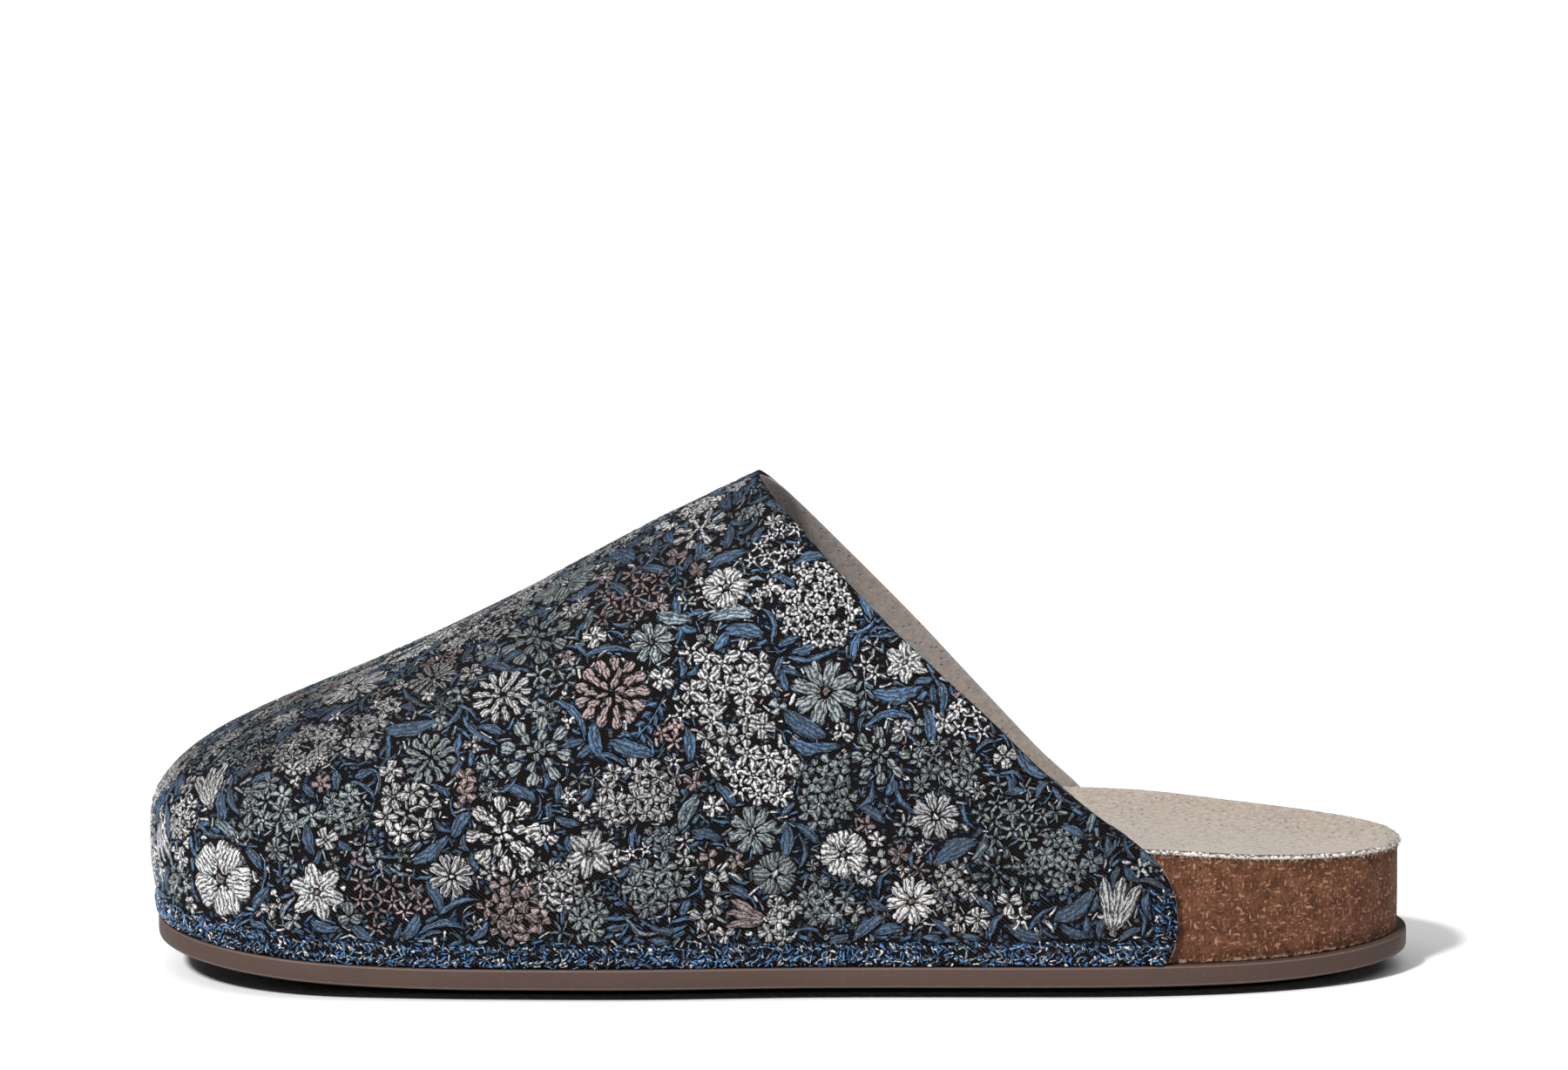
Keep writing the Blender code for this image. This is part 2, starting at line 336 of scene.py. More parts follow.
class Finish:
    def __init__(self, name, roughness, specular=0.35, sheen=(0.0, 0.5)):
        self.material = bpy.data.materials.new(name)
        self.material.use_nodes = True
        self.tree = self.material.node_tree
        self.shader = self.tree.nodes["Principled BSDF"]
        constants = {"Roughness": roughness, "Specular IOR Level": specular,
                     "Sheen Weight": sheen[0], "Sheen Roughness": sheen[1]}
        for key, value in constants.items():
            self.shader.inputs[key].default_value = value

    def node(self, kind, settings=None, sockets=None, output=0):
        made = self.tree.nodes.new(kind)
        for key, value in (settings or {}).items():
            if key == "stops":
                ramp = made.color_ramp.elements
                while len(ramp) < len(value):
                    ramp.new(1.0)
                for element, (position, colour) in zip(ramp, value):
                    element.position, element.color = position, (*colour, 1.0)
            else:
                setattr(made, key, value)
        for key, value in (sockets or {}).items():
            if isinstance(value, Value):
                self.tree.links.new(value.socket, made.inputs[key])
            else:
                made.inputs[key].default_value = value
        return Value(self, made.outputs[output])

    def objectPoint(self):
        return self.node("ShaderNodeTexCoord", output="Object")

    def uvPoint(self, name):
        return self.node("ShaderNodeUVMap", {"uv_map": name})

    def attribute(self, name, output="Fac"):
        return self.node("ShaderNodeAttribute", {"attribute_name": name}, None, output)

    def axes(self, vector):
        parts = self.node("ShaderNodeSeparateXYZ", None, {0: vector}).socket.node.outputs
        return [Value(self, part) for part in parts]

    def noise(self, vector, scale, detail=2.0, roughness=0.5, output=0):
        sockets = {"Vector": vector, "Scale": scale, "Detail": detail, "Roughness": roughness}
        return self.node("ShaderNodeTexNoise", None, sockets, output)

    def cells(self, vector, scale, dimensions="3D"):  # way to a cell's middle, and two draws for each cell
        settings = {"voronoi_dimensions": dimensions}
        near = self.node("ShaderNodeTexVoronoi", settings, {"Vector": vector, "Scale": scale}, "Distance")
        chance, shade, _ = self.axes(Value(self, near.socket.node.outputs["Color"]))
        return near, chance, shade

    def stretched(self, vector, scale, turn=(0, 0, 0)):
        return self.node("ShaderNodeMapping", None, {"Vector": vector, "Scale": scale, "Rotation": turn})

    def mix(self, factor, a, b, blend="MIX"):
        a, b = ((*c, 1.0) if isinstance(c, tuple) else c for c in (a, b))
        settings = {"data_type": "RGBA", "blend_type": blend}
        return self.node("ShaderNodeMix", settings, {0: factor, 6: a, 7: b}, 2)

    def ramp(self, value, stops):
        return self.node("ShaderNodeValToRGB", {"stops": stops}, {0: value})

    def feed(self, colour=None, roughness=None, height=None, depth=0.0001, strength=1.0):
        if colour is not None:
            self.tree.links.new(colour.socket, self.shader.inputs["Base Color"])
        if roughness is not None:
            self.tree.links.new(roughness.socket, self.shader.inputs["Roughness"])
        if height is not None:
            sockets = {"Height": height, "Distance": depth, "Strength": strength}
            bump = self.node("ShaderNodeBump", None, sockets)
            self.tree.links.new(bump.socket, self.shader.inputs["Normal"])
        return self.material


def srgb(r, g, b):  # screen colour, 0 to 255, to linear
    return tuple(((c / 255 + 0.055) / 1.055) ** 2.4 if c > 10 else c / 3294.6 for c in (r, g, b))


twill = {"ribPitch": 1.05, "crossPitch": 0.42, "fleckPitch": 0.75, "fleckShare": 0.58}  # millimetres


def twillFinish():
    finish = Finish("brocade ground", 0.8, 0.06)
    u, v, _ = finish.axes(finish.uvPoint("weave"))
    rib = ((u + v * 1.2) * (2 * math.pi / twill["ribPitch"])).sine()
    cross = ((u * 0.9 - v) * (2 * math.pi / twill["crossPitch"])).sine()
    grain = finish.noise(finish.objectPoint(), 900.0, 3.0)
    weave = {0: u * twill["fleckPitch"] + grain, 1: v * twill["fleckPitch"] + grain * 0.6}
    near, chance, shade = finish.cells(finish.node("ShaderNodeCombineXYZ", None, weave), 1.0, "2D")
    fleck = (0.42 - near).step(0.0, 0.16) * (chance - twill["fleckShare"]).step(0.0, 0.05)
    tone = finish.mix((rib + grain - 0.5).step(0.2, 0.95), srgb(4, 4, 5), srgb(40, 32, 31))
    fleckTone = finish.mix(shade.step(0.55, 0.65), srgb(46, 68, 92), srgb(88, 90, 92))
    shown = fleck * (grain.step(0.35, 0.6) * 0.7 + 0.2)  # small floats between the motifs
    tone = finish.mix(shown, tone, fleckTone)
    return finish.feed(tone, None, rib * 0.35 + cross * 0.12 + grain * 0.5 + fleck * 0.9, 0.00018)


thread = {"pitch": 0.95, "wander": 2.0, "lie": (0.6, 1.3)}  # millimetres, and turns a millimetre


def threadFinish():
    finish = Finish("brocade figure", 0.5, 0.5)
    tint, accent = (finish.attribute(name, "Color") for name in ("tint", "accent"))
    role, size, rise = (finish.attribute(name) for name in ("role", "size", "rise"))
    along, across, _ = finish.axes(finish.uvPoint("pad"))
    along, across = along * size * 1000.0, across * size * 1000.0  # in millimetres
    seed = finish.axes(tint)[0] * 97.0
    point = finish.objectPoint()
    patch = finish.noise(point, 160.0, 2.0)
    floats = finish.noise(point, 1900.0, 3.0, 0.78)
    lie = {0: along * thread["lie"][0], 1: across * thread["lie"][1], 2: seed}
    strand = finish.noise(finish.node("ShaderNodeCombineXYZ", None, lie), 1.0, 2.0, 0.6)
    wave = ((across + strand * thread["wander"]) * (2 * math.pi / thread["pitch"])).sine()
    groove = (wave + (floats - 0.5) * 1.6).step(-0.8, 0.15)  # painted shade: dark lines in the grooves between bundles of thread
    colour = finish.mix(role, tint, accent)
    deep = finish.mix(1.0, colour, (0.55, 0.55, 0.58), "MULTIPLY")
    colour = finish.mix((patch - 0.5) * 1.1 + 0.2, colour, deep)
    # painted shade in the grooves, times tone that differs by strand and by float
    grooveShadeAndMottle = (groove * 0.95 + 0.05) * (strand.step(0.34, 0.62) * 0.4 + 0.6)
    grooveShadeAndMottle = grooveShadeAndMottle * (floats.step(0.4, 0.56) * 0.58 + 0.42)
    paintedRimShade = (rise + wave * 0.06 + (floats - 0.5) * 0.4).step(0.0, 0.22)  # painted shade: pads darken towards their rims, where the threads dive into the ground
    colour = finish.mix(grooveShadeAndMottle * (paintedRimShade * 0.97 + 0.03), srgb(8, 8, 10), colour)
    return finish.feed(colour, 0.56 - floats * 0.4, wave * 0.4 + floats * 0.9, 0.00035)


def suedeFinish(name, pale, dark, speck, nap=1.0, pitted=0.75, frayed=False):
    finish = Finish(name, 0.95, sheen=(0.35, 0.6))
    point = finish.objectPoint()
    fibre = finish.noise(finish.stretched(point, (1.0, 0.7, 1.0)), 950.0, 4.0, 0.7)
    cloud = finish.noise(point, 70.0, 3.0)
    near, chance, _ = finish.cells(finish.stretched(point, (1.0, 0.4, 1.0)), 850.0)
    pit = (0.34 - near).step(0.0, 0.16) * (chance - 0.66).step(0.0, 0.05)
    tone = finish.mix(fibre.step(0.34, 0.66) * 0.65 + cloud * 0.35, dark, pale)
    tone = finish.mix(pit * pitted, tone, speck)
    height = fibre * nap + cloud * 0.6 - pit * 0.8
    if frayed:  # cut edge: pale fibres, with painted shade in the gaps between them
        level = finish.attribute("level")
        edge = (0.99 - level).step(0.0, 0.04)
        gaps = finish.noise(finish.stretched(point, (1.0, 1.0, 1.3)), 1250.0, 3.0, 0.65)
        gap = (gaps + (level - 0.6) * 0.3).step(0.53, 0.6)  # painted shade, most under the top's rim
        fray = finish.mix(fibre.step(0.3, 0.5), srgb(152, 140, 128), srgb(226, 218, 208))
        tone = finish.mix(edge, tone, finish.mix(gap, fray, srgb(52, 44, 39)))
        height = height - edge * gap * 1.5
    return finish.feed(tone, None, height, 0.00025)


def corkFinish():
    finish = Finish("pressed cork", 0.78, 0.2)
    point = finish.objectPoint()
    bend = finish.noise(point, 420.0, 2.0, 0.5, "Color")
    bent = finish.node("ShaderNodeVectorMath", {"operation": "MULTIPLY_ADD"},
                       {0: bend, 1: (0.0016, 0.0016, 0.0016), 2: point})
    cloud = finish.noise(point, 260.0, 4.0, 0.6)
    fine = finish.noise(point, 1500.0, 3.0, 0.6)
    tone = finish.ramp(cloud * 0.5 + fine * 0.5, [
        (0.38, srgb(60, 33, 20)), (0.5, srgb(84, 51, 34)), (0.62, srgb(103, 66, 47))])
    height = cloud * 0.4 + fine * 0.5
    # chips of several sizes, lying different ways
    for scale, stretch, turn, share, size, paleness in (
        (380.0, (1.0, 1.0, 2.8), (0.0, 0.35, 0.0), 0.66, 0.36, 0.95),
        (480.0, (2.6, 1.0, 1.0), (0.0, -0.5, 0.3), 0.66, 0.36, 0.9),
        (700.0, (1.0, 1.0, 2.2), (0.0, -0.8, 0.0), 0.56, 0.38, 0.8),
        (1000.0, (1.8, 1.0, 1.0), (0.0, 0.5, 0.0), 0.5, 0.4, 0.7),
    ):
        near, chance, shade = finish.cells(finish.stretched(bent, stretch, turn), scale)
        chip = (size - near).step(0.0, 0.11) * (chance - share).step(0.0, 0.04)
        tone = finish.mix(chip * paleness * (shade * 0.8 + 0.2), tone, srgb(155, 115, 91))
        speck = (size * 0.7 - near).step(0.0, 0.05) * (0.12 - chance).step(0.0, 0.03)
        tone = finish.mix(speck * 0.75, tone, srgb(42, 23, 16))
        height = height + chip * 0.5 - speck * 0.6
    atJoint = (0.05 - finish.attribute("level")).step(0.0, 0.03)
    crumbs = finish.noise(point, 900.0, 2.0, 0.6).step(0.42, 0.56) * atJoint
    tone = finish.mix(crumbs * 0.8, tone, srgb(176, 148, 126))  # pale crumbs along the joint with the outsole
    return finish.feed(tone, None, height + crumbs, 0.0002)


outsole = {
    "counts": (300, 24),
    "rimFoot": 0.33,  # share of the height where the rim begins, above the tread
    "tread": ((-8.8, 0.0), (-8.4, 0.5), (-8.0, 0.9), (-7.0, 1.0)),
    "rim": ((-1.6, 0.0), (-0.6, 0.02), (-0.2, 0.08), (-0.03, 0.2), (0.0, 0.4), (0.0, 0.86), (-0.08, 0.95),
            (-0.3, 1.0), (-0.8, 1.0)),
    # painted highlights: shares of the height where pale lines run
    "paintedHighlightLines": (0.4, 0.955),
}


def rubberFinish():
    finish = Finish("outsole rubber", 0.62, 0.25)
    point = finish.objectPoint()
    grain = finish.noise(point, 2200.0, 2.0)
    cloud = finish.noise(finish.stretched(point, (0.5, 1.0, 2.0)), 60.0, 3.0)
    tone = finish.mix(cloud * 0.8 + grain * 0.2, srgb(61, 46, 41), srgb(77, 60, 53))
    dust = finish.noise(point, 700.0, 3.0, 0.7).step(0.56, 0.72)
    tone = finish.mix(dust * 0.2, tone, srgb(95, 80, 72))
    level = finish.attribute("level")
    for line in outsole["paintedHighlightLines"]:  # painted highlights along the rim's upper and lower edges
        near = (level - line) * (level - line)
        tone = finish.mix((0.0009 - near).step(0.0, 0.0007) * (dust * 0.3 + 0.28), tone, srgb(132, 114, 104))
    tone = finish.mix((outsole["rimFoot"] + 0.02 - level).step(0.0, 0.02), tone, srgb(8, 6, 6))  # painted shade: the tread below the rim made near black, standing in for the shade under the sole
    return finish.feed(tone, 0.5 + cloud * 0.25, grain * 0.6 + dust * 0.3, 0.00006)


def napFinish(name, pale, dark):
    finish = Finish(name, 0.95, sheen=(0.3, 0.6))
    tone = finish.noise(finish.objectPoint(), 1300.0, 2.0)
    return finish.feed(finish.mix(tone.step(0.35, 0.65), dark, pale))


groundMaterial = twillFinish()
figureMaterial = threadFinish()
liningMaterial = suedeFinish("lining suede", srgb(146, 136, 129), srgb(117, 108, 101), srgb(88, 81, 76),
                             nap=1.2, pitted=0.3)
bedMaterial = suedeFinish("footbed suede", srgb(165, 150, 135), srgb(111, 96, 82), srgb(84, 72, 62),
                          frayed=True)
napMaterial = napFinish("footbed nap", srgb(178, 165, 152), srgb(96, 82, 70))
corkMaterial = corkFinish()
rubberMaterial = rubberFinish()
print("finishes made")

# sole

rimFoot = outsole["rimFoot"]
outsoleRings = [(outset, rimFoot * share) for outset, share in outsole["tread"]]
outsoleRings += [(outset, rimFoot + (1 - rimFoot) * share) for outset, share in outsole["rim"]]
soleLayer("outsoleRubber", rubberMaterial, "outsole", outsoleRings,
          outsoleUnder, outsoleTop, outsole["counts"])

corkInset = shoe["tuck"] + shoe["wall"] + shoe["gap"]
cork = {"counts": (300, 24), "joint": 0.05, "rings": (
    (-corkInset - 0.25, 0.0), (-corkInset, 0.015), (-corkInset + 0.03, 0.25), (-corkInset + 0.05, 0.5),
    (-corkInset + 0.02, 0.75), (-corkInset, 0.975), (-corkInset - 0.35, 1.0))}
soleLayer("midsoleCork", corkMaterial, "midsole_cork", cork["rings"],
          lambda s, p: outsoleTop(s, p) + cork["joint"],
          lambda s, p: bedTop(s, p) - shoe["bedThickness"] - cork["joint"], cork["counts"])

footbed = {"counts": (640, 28), "rings": (
    (-corkInset - 0.5, 0.0), (-corkInset + 0.1, 0.1), (-corkInset + 0.28, 0.4), (-corkInset + 0.22, 0.72),
    (-corkInset - 0.1, 0.95), (-corkInset - 0.8, 1.0)), "ragged": 0.34}
soleLayer("footbedSuede", bedMaterial, "footbed", footbed["rings"],
          lambda s, p: bedTop(s, p) - shoe["bedThickness"], bedTop, footbed["counts"], footbed["ragged"])
print("sole made")

# upper

hem = {
    "height": 4.6,
    "rise": 0.5,
    "margin": 0.3,  # from the fold to the groove's middle
    "groove": 0.5,
    "grooveWidth": 1.3,
    "share": 0.25,  # of the levels below the widest line
    "top": 27.0,  # the rear fold ends here
    "fade": 6.0,
    "bareTop": 4.0,  # and is plain cloth this far below its end
}


def hemBump(height):  # folded edge, with a sewn groove above it
    fold = 1 - np.clip(np.abs(2 * height / hem["height"] - 1), 0.0, 1.0) ** 4
    groove = np.exp(-(((height - hem["height"] - hem["margin"]) / (hem["grooveWidth"] / 2)) ** 2))
    return hem["rise"] * fold - hem["groove"] * groove


def upperSurface(side, distance, level, fromEdge=1e3):
    station = stationAt(distance)
    front = station + shoe["archFront"] * np.exp(-((distance / shoe["archFan"]) ** 2))
    ridgeY = smooth(plan, "centre", front)
    low = outsoleTop(station) + shoe["gap"]
    widest = smooth(last, "widest", station)
    wall = np.clip(level, 0.0, 1.0)
    inFold = np.clip(wall / hem["share"], 0.0, 1.0) * hem["height"]
    above = np.clip((wall - hem["share"]) / (1 - hem["share"]), 0.0, 1.0)
    height = inFold + above * (widest - low - hem["height"])
    fade = np.clip((hem["top"] - low - height) / hem["fade"], 0.0, 1.0)
    fade = np.where(level > 1.0, 0.0, fade)
    bottom, rear = hemBump(height), hemBump(fromEdge) * fade
    rise = np.where(np.abs(bottom) > np.abs(rear), bottom, rear)
    rise = np.where(level > 1.0, 0.0, rise)
    bulge = np.clip(1 - distance / shoe["toeOverhang"], 0.0, 1.0) ** 2
    bulge = shoe["bulge"] + (shoe["toeSetback"] - shoe["bulge"]) * bulge
    outset = (bulge + shoe["tuck"]) * np.sin(wall * np.pi / 2) - shoe["tuck"] + rise
    x, y = rim(side, distance, outset)
    turn = np.clip(level - 1.0, 0.0, 1.0) * np.pi / 2
    power = 2 / smooth(last, "power", station)
    spread = np.clip(np.cos(turn), 0.0, 1.0) ** power
    x, y = front + (x - front) * spread, ridgeY + (y - ridgeY) * spread
    crown = smooth(last, "ridge", np.clip(x, 0.0, shoe["length"]))
    z = np.where(level > 1.0, widest + (crown - widest) * np.sin(turn) ** power, low + height)
    return np.stack([x, y, z], -1), height


def rearEdge(side, level):
    low, high = np.full(level.shape, 40.0), np.full(level.shape, rimLength - 30.0)
    for _ in range(40):
        mid = (low + high) / 2
        point, _ = upperSurface(side, mid, level)
        inside = point[:, 0] < smooth(collar, side, point[:, 2])
        low, high = np.where(inside, mid, low), np.where(inside, high, mid)
    return low


def evenLevels(count):  # levels that are even steps along a middle section
    dense = np.concatenate([np.linspace(0, 1, 400), np.linspace(1, 2, 2000)[1:]])
    points, _ = upperSurface("lateral", np.full(dense.shape, 150.0), dense)
    travel = np.concatenate([[0.0], np.cumsum(np.linalg.norm(np.diff(points, axis=0), axis=1))])
    return np.interp(np.linspace(0, travel[-1], count), travel, dense)


def upperGrid(rows, stations, border, past=None):  # past: how far the rear edge goes beyond the cloth's
    levels = evenLevels(rows)
    sides = []
    for side in ("lateral", "medial"):
        ends = (rearEdge(side, levels) + (past(side, levels) if past else 0.0))[None, :]
        body = np.linspace(0.0, 1.0, stations)[:-1, None] * (ends - border[0])
        distance = np.concatenate([body, ends - border[:, None]])
        fromEdge = ends - distance
        points, height = upperSurface(side, distance, np.broadcast_to(levels, distance.shape), fromEdge)
        travel = np.concatenate([np.zeros((len(points), 1)),
                                 np.cumsum(np.linalg.norm(np.diff(points, axis=1), axis=2), 1)], 1)
        turn = 1.0 if side == "lateral" else -1.0
        sides.append((points, np.dstack([distance * turn, travel]), height, fromEdge))
    return [np.concatenate([a, b[:, -2::-1]], 1) for a, b in zip(*sides)]


def gridNormals(points):
    along = np.gradient(points, axis=0)
    across = np.gradient(points, axis=1)
    normals = np.cross(along, across)
    normals[0] += normals[0, ::-1]  # both sides meet at the front of the toe
    normals /= np.linalg.norm(normals, axis=2, keepdims=True) + 1e-12
    outward = points - np.array([150.0, 0.0, 20.0])
    return normals * np.sign((normals * outward).sum())


upper = {
    "rows": 96,
    "stations": 190,
    "border": np.array([7.0, 6.0, 5.3, 4.6, 3.9, 2.6, 1.3, 0.9, 0.5, 0.2, 0.0]),  # rows along the rear edge
    "cloth": 0.6,
    "roll": 1.1,  # the collar's edge turns in
    "rollHeights": (22.0, 30.0),  # from none to full
    "rollFade": 14.0,  # columns at the ridge where it ends
}
grid, weave, heights, fromEdges = upperGrid(upper["rows"], upper["stations"], upper["border"])
normals = gridNormals(grid)
nearSide = np.clip((upper["rows"] - np.arange(grid.shape[1])) / upper["rollFade"], 0.0, 1.0)
aboveSole = np.interp(grid[..., 2], upper["rollHeights"], (0.0, 1.0))
inRoll = np.clip(1 - fromEdges / upper["roll"], 0.0, 1.0) * aboveSole * nearSide
grid = grid - normals * (upper["roll"] * (1 - np.sqrt(1 - inRoll**2)))[..., None]
clothFaces = facesOut(grid, normals)
clothPoints = grid.reshape(-1, 3) - middle
clothMesh = meshFrom("upperCloth", clothPoints, clothFaces)
setUv(clothMesh, "weave", weave.reshape(-1, 2)[cornersOf(clothMesh)])
closeMesh(clothMesh, outward=False)
clothTree = BVHTree.FromPolygons((clothPoints * mm).tolist(), clothFaces.tolist())
cloth = addPiece("upperCloth", clothMesh, groundMaterial, "upper")
shell = cloth.modifiers.new("Cloth", "SOLIDIFY")
shell.thickness, shell.offset = upper["cloth"] * mm, -1.0

liner = {
    "rows": 64,
    "stations": 90,
    "border": np.array([4.0, 2.0, 1.0, 0.0]),
    "thickness": 0.6,
    "gap": 0.06,
    "corner": 0.45,  # shows past the cloth at the low rear corner
    "lateral": -0.7,
    "medial": 0.35,  # and over the far collar
    "ridge": -0.7,
    "ridgeFrom": 1.7,  # level
}


def linerReach(side, levels):
    fold = np.clip((levels - liner["ridgeFrom"]) / (2 - liner["ridgeFrom"]), 0.0, 1.0)
    above = liner[side] + (liner["ridge"] - liner[side]) * fold
    return np.where(levels < 1.0, liner["corner"], above)


linerGrid = upperGrid(liner["rows"], liner["stations"], liner["border"], linerReach)[0]
linerNormals = gridNormals(linerGrid)
linerPoints = (linerGrid - linerNormals * (upper["cloth"] + liner["gap"])).reshape(-1, 3) - middle
linerMesh = meshFrom("upperLining", linerPoints, facesOut(linerGrid, linerNormals))
closeMesh(linerMesh, outward=False)
lining = addPiece("upperLining", linerMesh, liningMaterial)
shell = lining.modifiers.new("Lining", "SOLIDIFY")
shell.thickness, shell.offset = liner["thickness"] * mm, -1.0
print("upper made", len(clothFaces), "faces")

# brocade figure: raised thread pads, grouped into motifs of one unit's radius

figure = {
    "seed": 5,
    "samples": 170000,
    "sink": 0.06,  # the pads' rims lie this far inside the ground cloth
    "maskCells": 72,
    "warps": ((520.0, 0.45), (1500.0, 0.24)),  # uneven weaving moves the outlines: scale and reach
    "rows": {"large": (0.0, 0.06, 0.2, 0.42, 0.64, 0.83, 0.95, 1.0), "small": (0.0, 0.18, 0.8, 1.0)},
    "across": {"large": (-1.0, -0.7, 0.0, 0.7, 1.0), "small": (-1.0, -0.58, 0.58, 1.0)},
    "relief": {"large": 1.7, "small": 1.5},
    "farLip": 1.4,  # kept bare below the far collar
    "onCloth": 0.86,  # least share of a motif that lies on the cloth
    "recount": 25,  # tries between counts of the free samples
    "shades": (0.9, 1.28),  # one motif to the next
    "hemShade": 1.5,
    "palest": 0.94,
    "fade": ((-125.0, -70.0, 0.0, 70.0), (1.2, 1.0, 0.86, 0.77)),  # painted shade: duller towards the rear
    "paintedLightHighUp": ((40.0, 75.0, 100.0), (1.03, 1.85, 2.1)),  # painted light: paler high up
    "crown": ((0.42, 0.76), (1.0, 0.42)),  # painted shade: darker along the ridge, where the cloth faces up
    "flat": ((0.4, 0.85), (1.0, 0.4)),  # and flatter there
}
tints = {
    "ivory": srgb(255, 253, 250),
    "pearl": srgb(212, 210, 210),
    "sage": srgb(154, 165, 167),
    "mauve": srgb(168, 147, 146),
    "steel": srgb(132, 149, 160),
    "blue": srgb(70, 104, 137),
    "azure": srgb(64, 107, 152),
}


def petal(angle, root, length, half, base, tip, lift, role=0.0, bend=0.0, notch=0.0, vein=0.0, at=(0.0, 0.0)):
    return dict(angle=angle, root=root, length=length, half=half, base=base, tip=tip, lift=lift, role=role,
                bend=bend, notch=notch, vein=vein, at=at)


def ringOf(count, root, length, half, base, tip, lift, turn=0.0, **more):
    angles = [turn + 2 * math.pi * k / count for k in range(count)]
    return [petal(angle, root, length, half, base, tip, lift, **more) for angle in angles]


def disc(radius, lift, role=1.0, at=(0.0, 0.0)):
    return [petal(0.0, -radius, 2 * radius, radius, 0.5, 0.5, lift, role, at=at)]


def spray():  # a stem with paired leaflets
    pads = [petal(0.0, -1.0, 1.9, 0.035, 0.2, 0.3, 0.25, bend=0.06)]
    for k in range(4):
        along = -0.62 + 0.4 * k
        for turn in (-0.75, 0.75):
            at = (along, 0.08 * (1 - along**2))
            pads.append(petal(turn, 0.07, 0.5 - 0.05 * k, 0.13 - 0.01 * k, 0.7, 0.8, 0.34, at=at))
    return pads


# rings of petals: count, root, length, half width, fullness at base and tip, lift and turn
largeMotifs = {
    "rose": ringOf(5, 0.16, 0.82, 0.5, 0.8, 0.34, 0.5, notch=0.07, vein=0.06) + disc(0.15, 0.55),
    "rosette": ringOf(8, 0.56, 0.43, 0.205, 0.7, 0.34, 0.34)
    + ringOf(6, 0.27, 0.34, 0.155, 0.7, 0.34, 0.42, 0.4)
    + ringOf(4, 0.03, 0.26, 0.105, 0.7, 0.4, 0.48, 0.1),
    "dahlia": ringOf(13, 0.6, 0.4, 0.15, 0.6, 0.4, 0.34) + ringOf(10, 0.36, 0.36, 0.12, 0.6, 0.4, 0.42, 0.2)
    + ringOf(6, 0.1, 0.32, 0.1, 0.6, 0.45, 0.5, 0.5),
    "star": ringOf(6, 0.1, 0.88, 0.32, 0.8, 0.85, 0.45, vein=0.14) + disc(0.1, 0.5),
    "aster": ringOf(8, 0.16, 0.82, 0.25, 0.7, 0.3, 0.42, notch=0.16, vein=0.1) + disc(0.12, 0.5),
    "bell": [petal(t, 0.0, 1.75, 0.27, 0.6, 0.7, 0.45, at=(-0.9, 0.0), vein=0.08) for t in (-0.34, 0.0, 0.34)]
    + disc(0.14, 0.4, 1.0, (-0.95, 0.0)),
    "leaf": [petal(0.0, -1.0, 2.0, 0.42, 0.8, 0.75, 0.36, bend=0.07, vein=0.24)],
    "leafTurned": [petal(0.0, -1.0, 2.0, 0.36, 0.7, 0.9, 0.36, bend=-0.1, vein=0.22)],
    "blade": [petal(0.0, -1.0, 2.0, 0.15, 0.6, 0.8, 0.32, bend=0.14)],
    "bladeTurned": [petal(0.0, -1.0, 2.0, 0.17, 0.7, 0.7, 0.32, bend=-0.2)],
    "spray": spray(),
}
smallMotifs = {
    "floretFour": ringOf(4, 0.08, 0.9, 0.52, 0.7, 0.36, 0.4, 0.4) + disc(0.13, 0.4),
    "floretFive": ringOf(5, 0.12, 0.88, 0.43, 0.8, 0.36, 0.4) + disc(0.16, 0.42),
    "trefoil": ringOf(3, 0.04, 0.94, 0.58, 0.8, 0.38, 0.42),
    "starlet": ringOf(5, 0.1, 0.9, 0.23, 0.6, 0.6, 0.36),
    "berry": disc(0.95, 0.42, 0.0),
    "chip": [petal(0.0, -1.0, 2.0, 0.46, 0.7, 0.75, 0.32)],
    "sliver": [petal(0.0, -1.0, 2.0, 0.24, 0.6, 0.6, 0.3, bend=0.06)],
}


def padPoints(pad, grade):  # flat place, rise in millimetres and place along and across
    a = np.array(figure["rows"][grade])[:, None]
    s = np.array(figure["across"][grade])[None, :]
    peak = pad["base"] / (pad["base"] + pad["tip"])
    width = np.maximum((a / peak) ** pad["base"] * ((1 - a) / (1 - peak)) ** pad["tip"], 0.1)
    x = pad["root"] + a * pad["length"] - pad["notch"] * np.exp(-((s / 0.45) ** 2)) * a**6
    y = s * pad["half"] * width + 4 * pad["bend"] * pad["length"] * a * (1 - a)
    crown = (1 - np.abs(s) ** 2.2) ** 0.6 * (1 - np.abs(2 * a - 1) ** 3) ** 0.5
    rise = figure["relief"][grade] * (pad["lift"] * crown - pad["vein"] * np.exp(-((s / 0.3) ** 2)))
    rise[:, [0, -1]] = -figure["sink"]
    rise[[0, -1], :] = -figure["sink"]
    cos, sin = math.cos(pad["angle"]), math.sin(pad["angle"])
    flat = np.stack([x * cos - y * sin, x * sin + y * cos], -1) + np.array(pad["at"])
    place = np.stack([a * pad["length"] + 0 * s, s * pad["half"] * width], -1)
    return flat, rise, place


def padFaces(grade, start):
    rows, across = len(figure["rows"][grade]), len(figure["across"][grade])
    faces = [list(face) for face in gridFaces(rows, across, start)]
    under = [start + j for j in range(across)]
    under += [start + i * across + across - 1 for i in range(1, rows)]
    under += [start + (rows - 1) * across + j for j in range(across - 2, -1, -1)]
    under += [start + i * across for i in range(rows - 2, 0, -1)]
    return faces + [under]


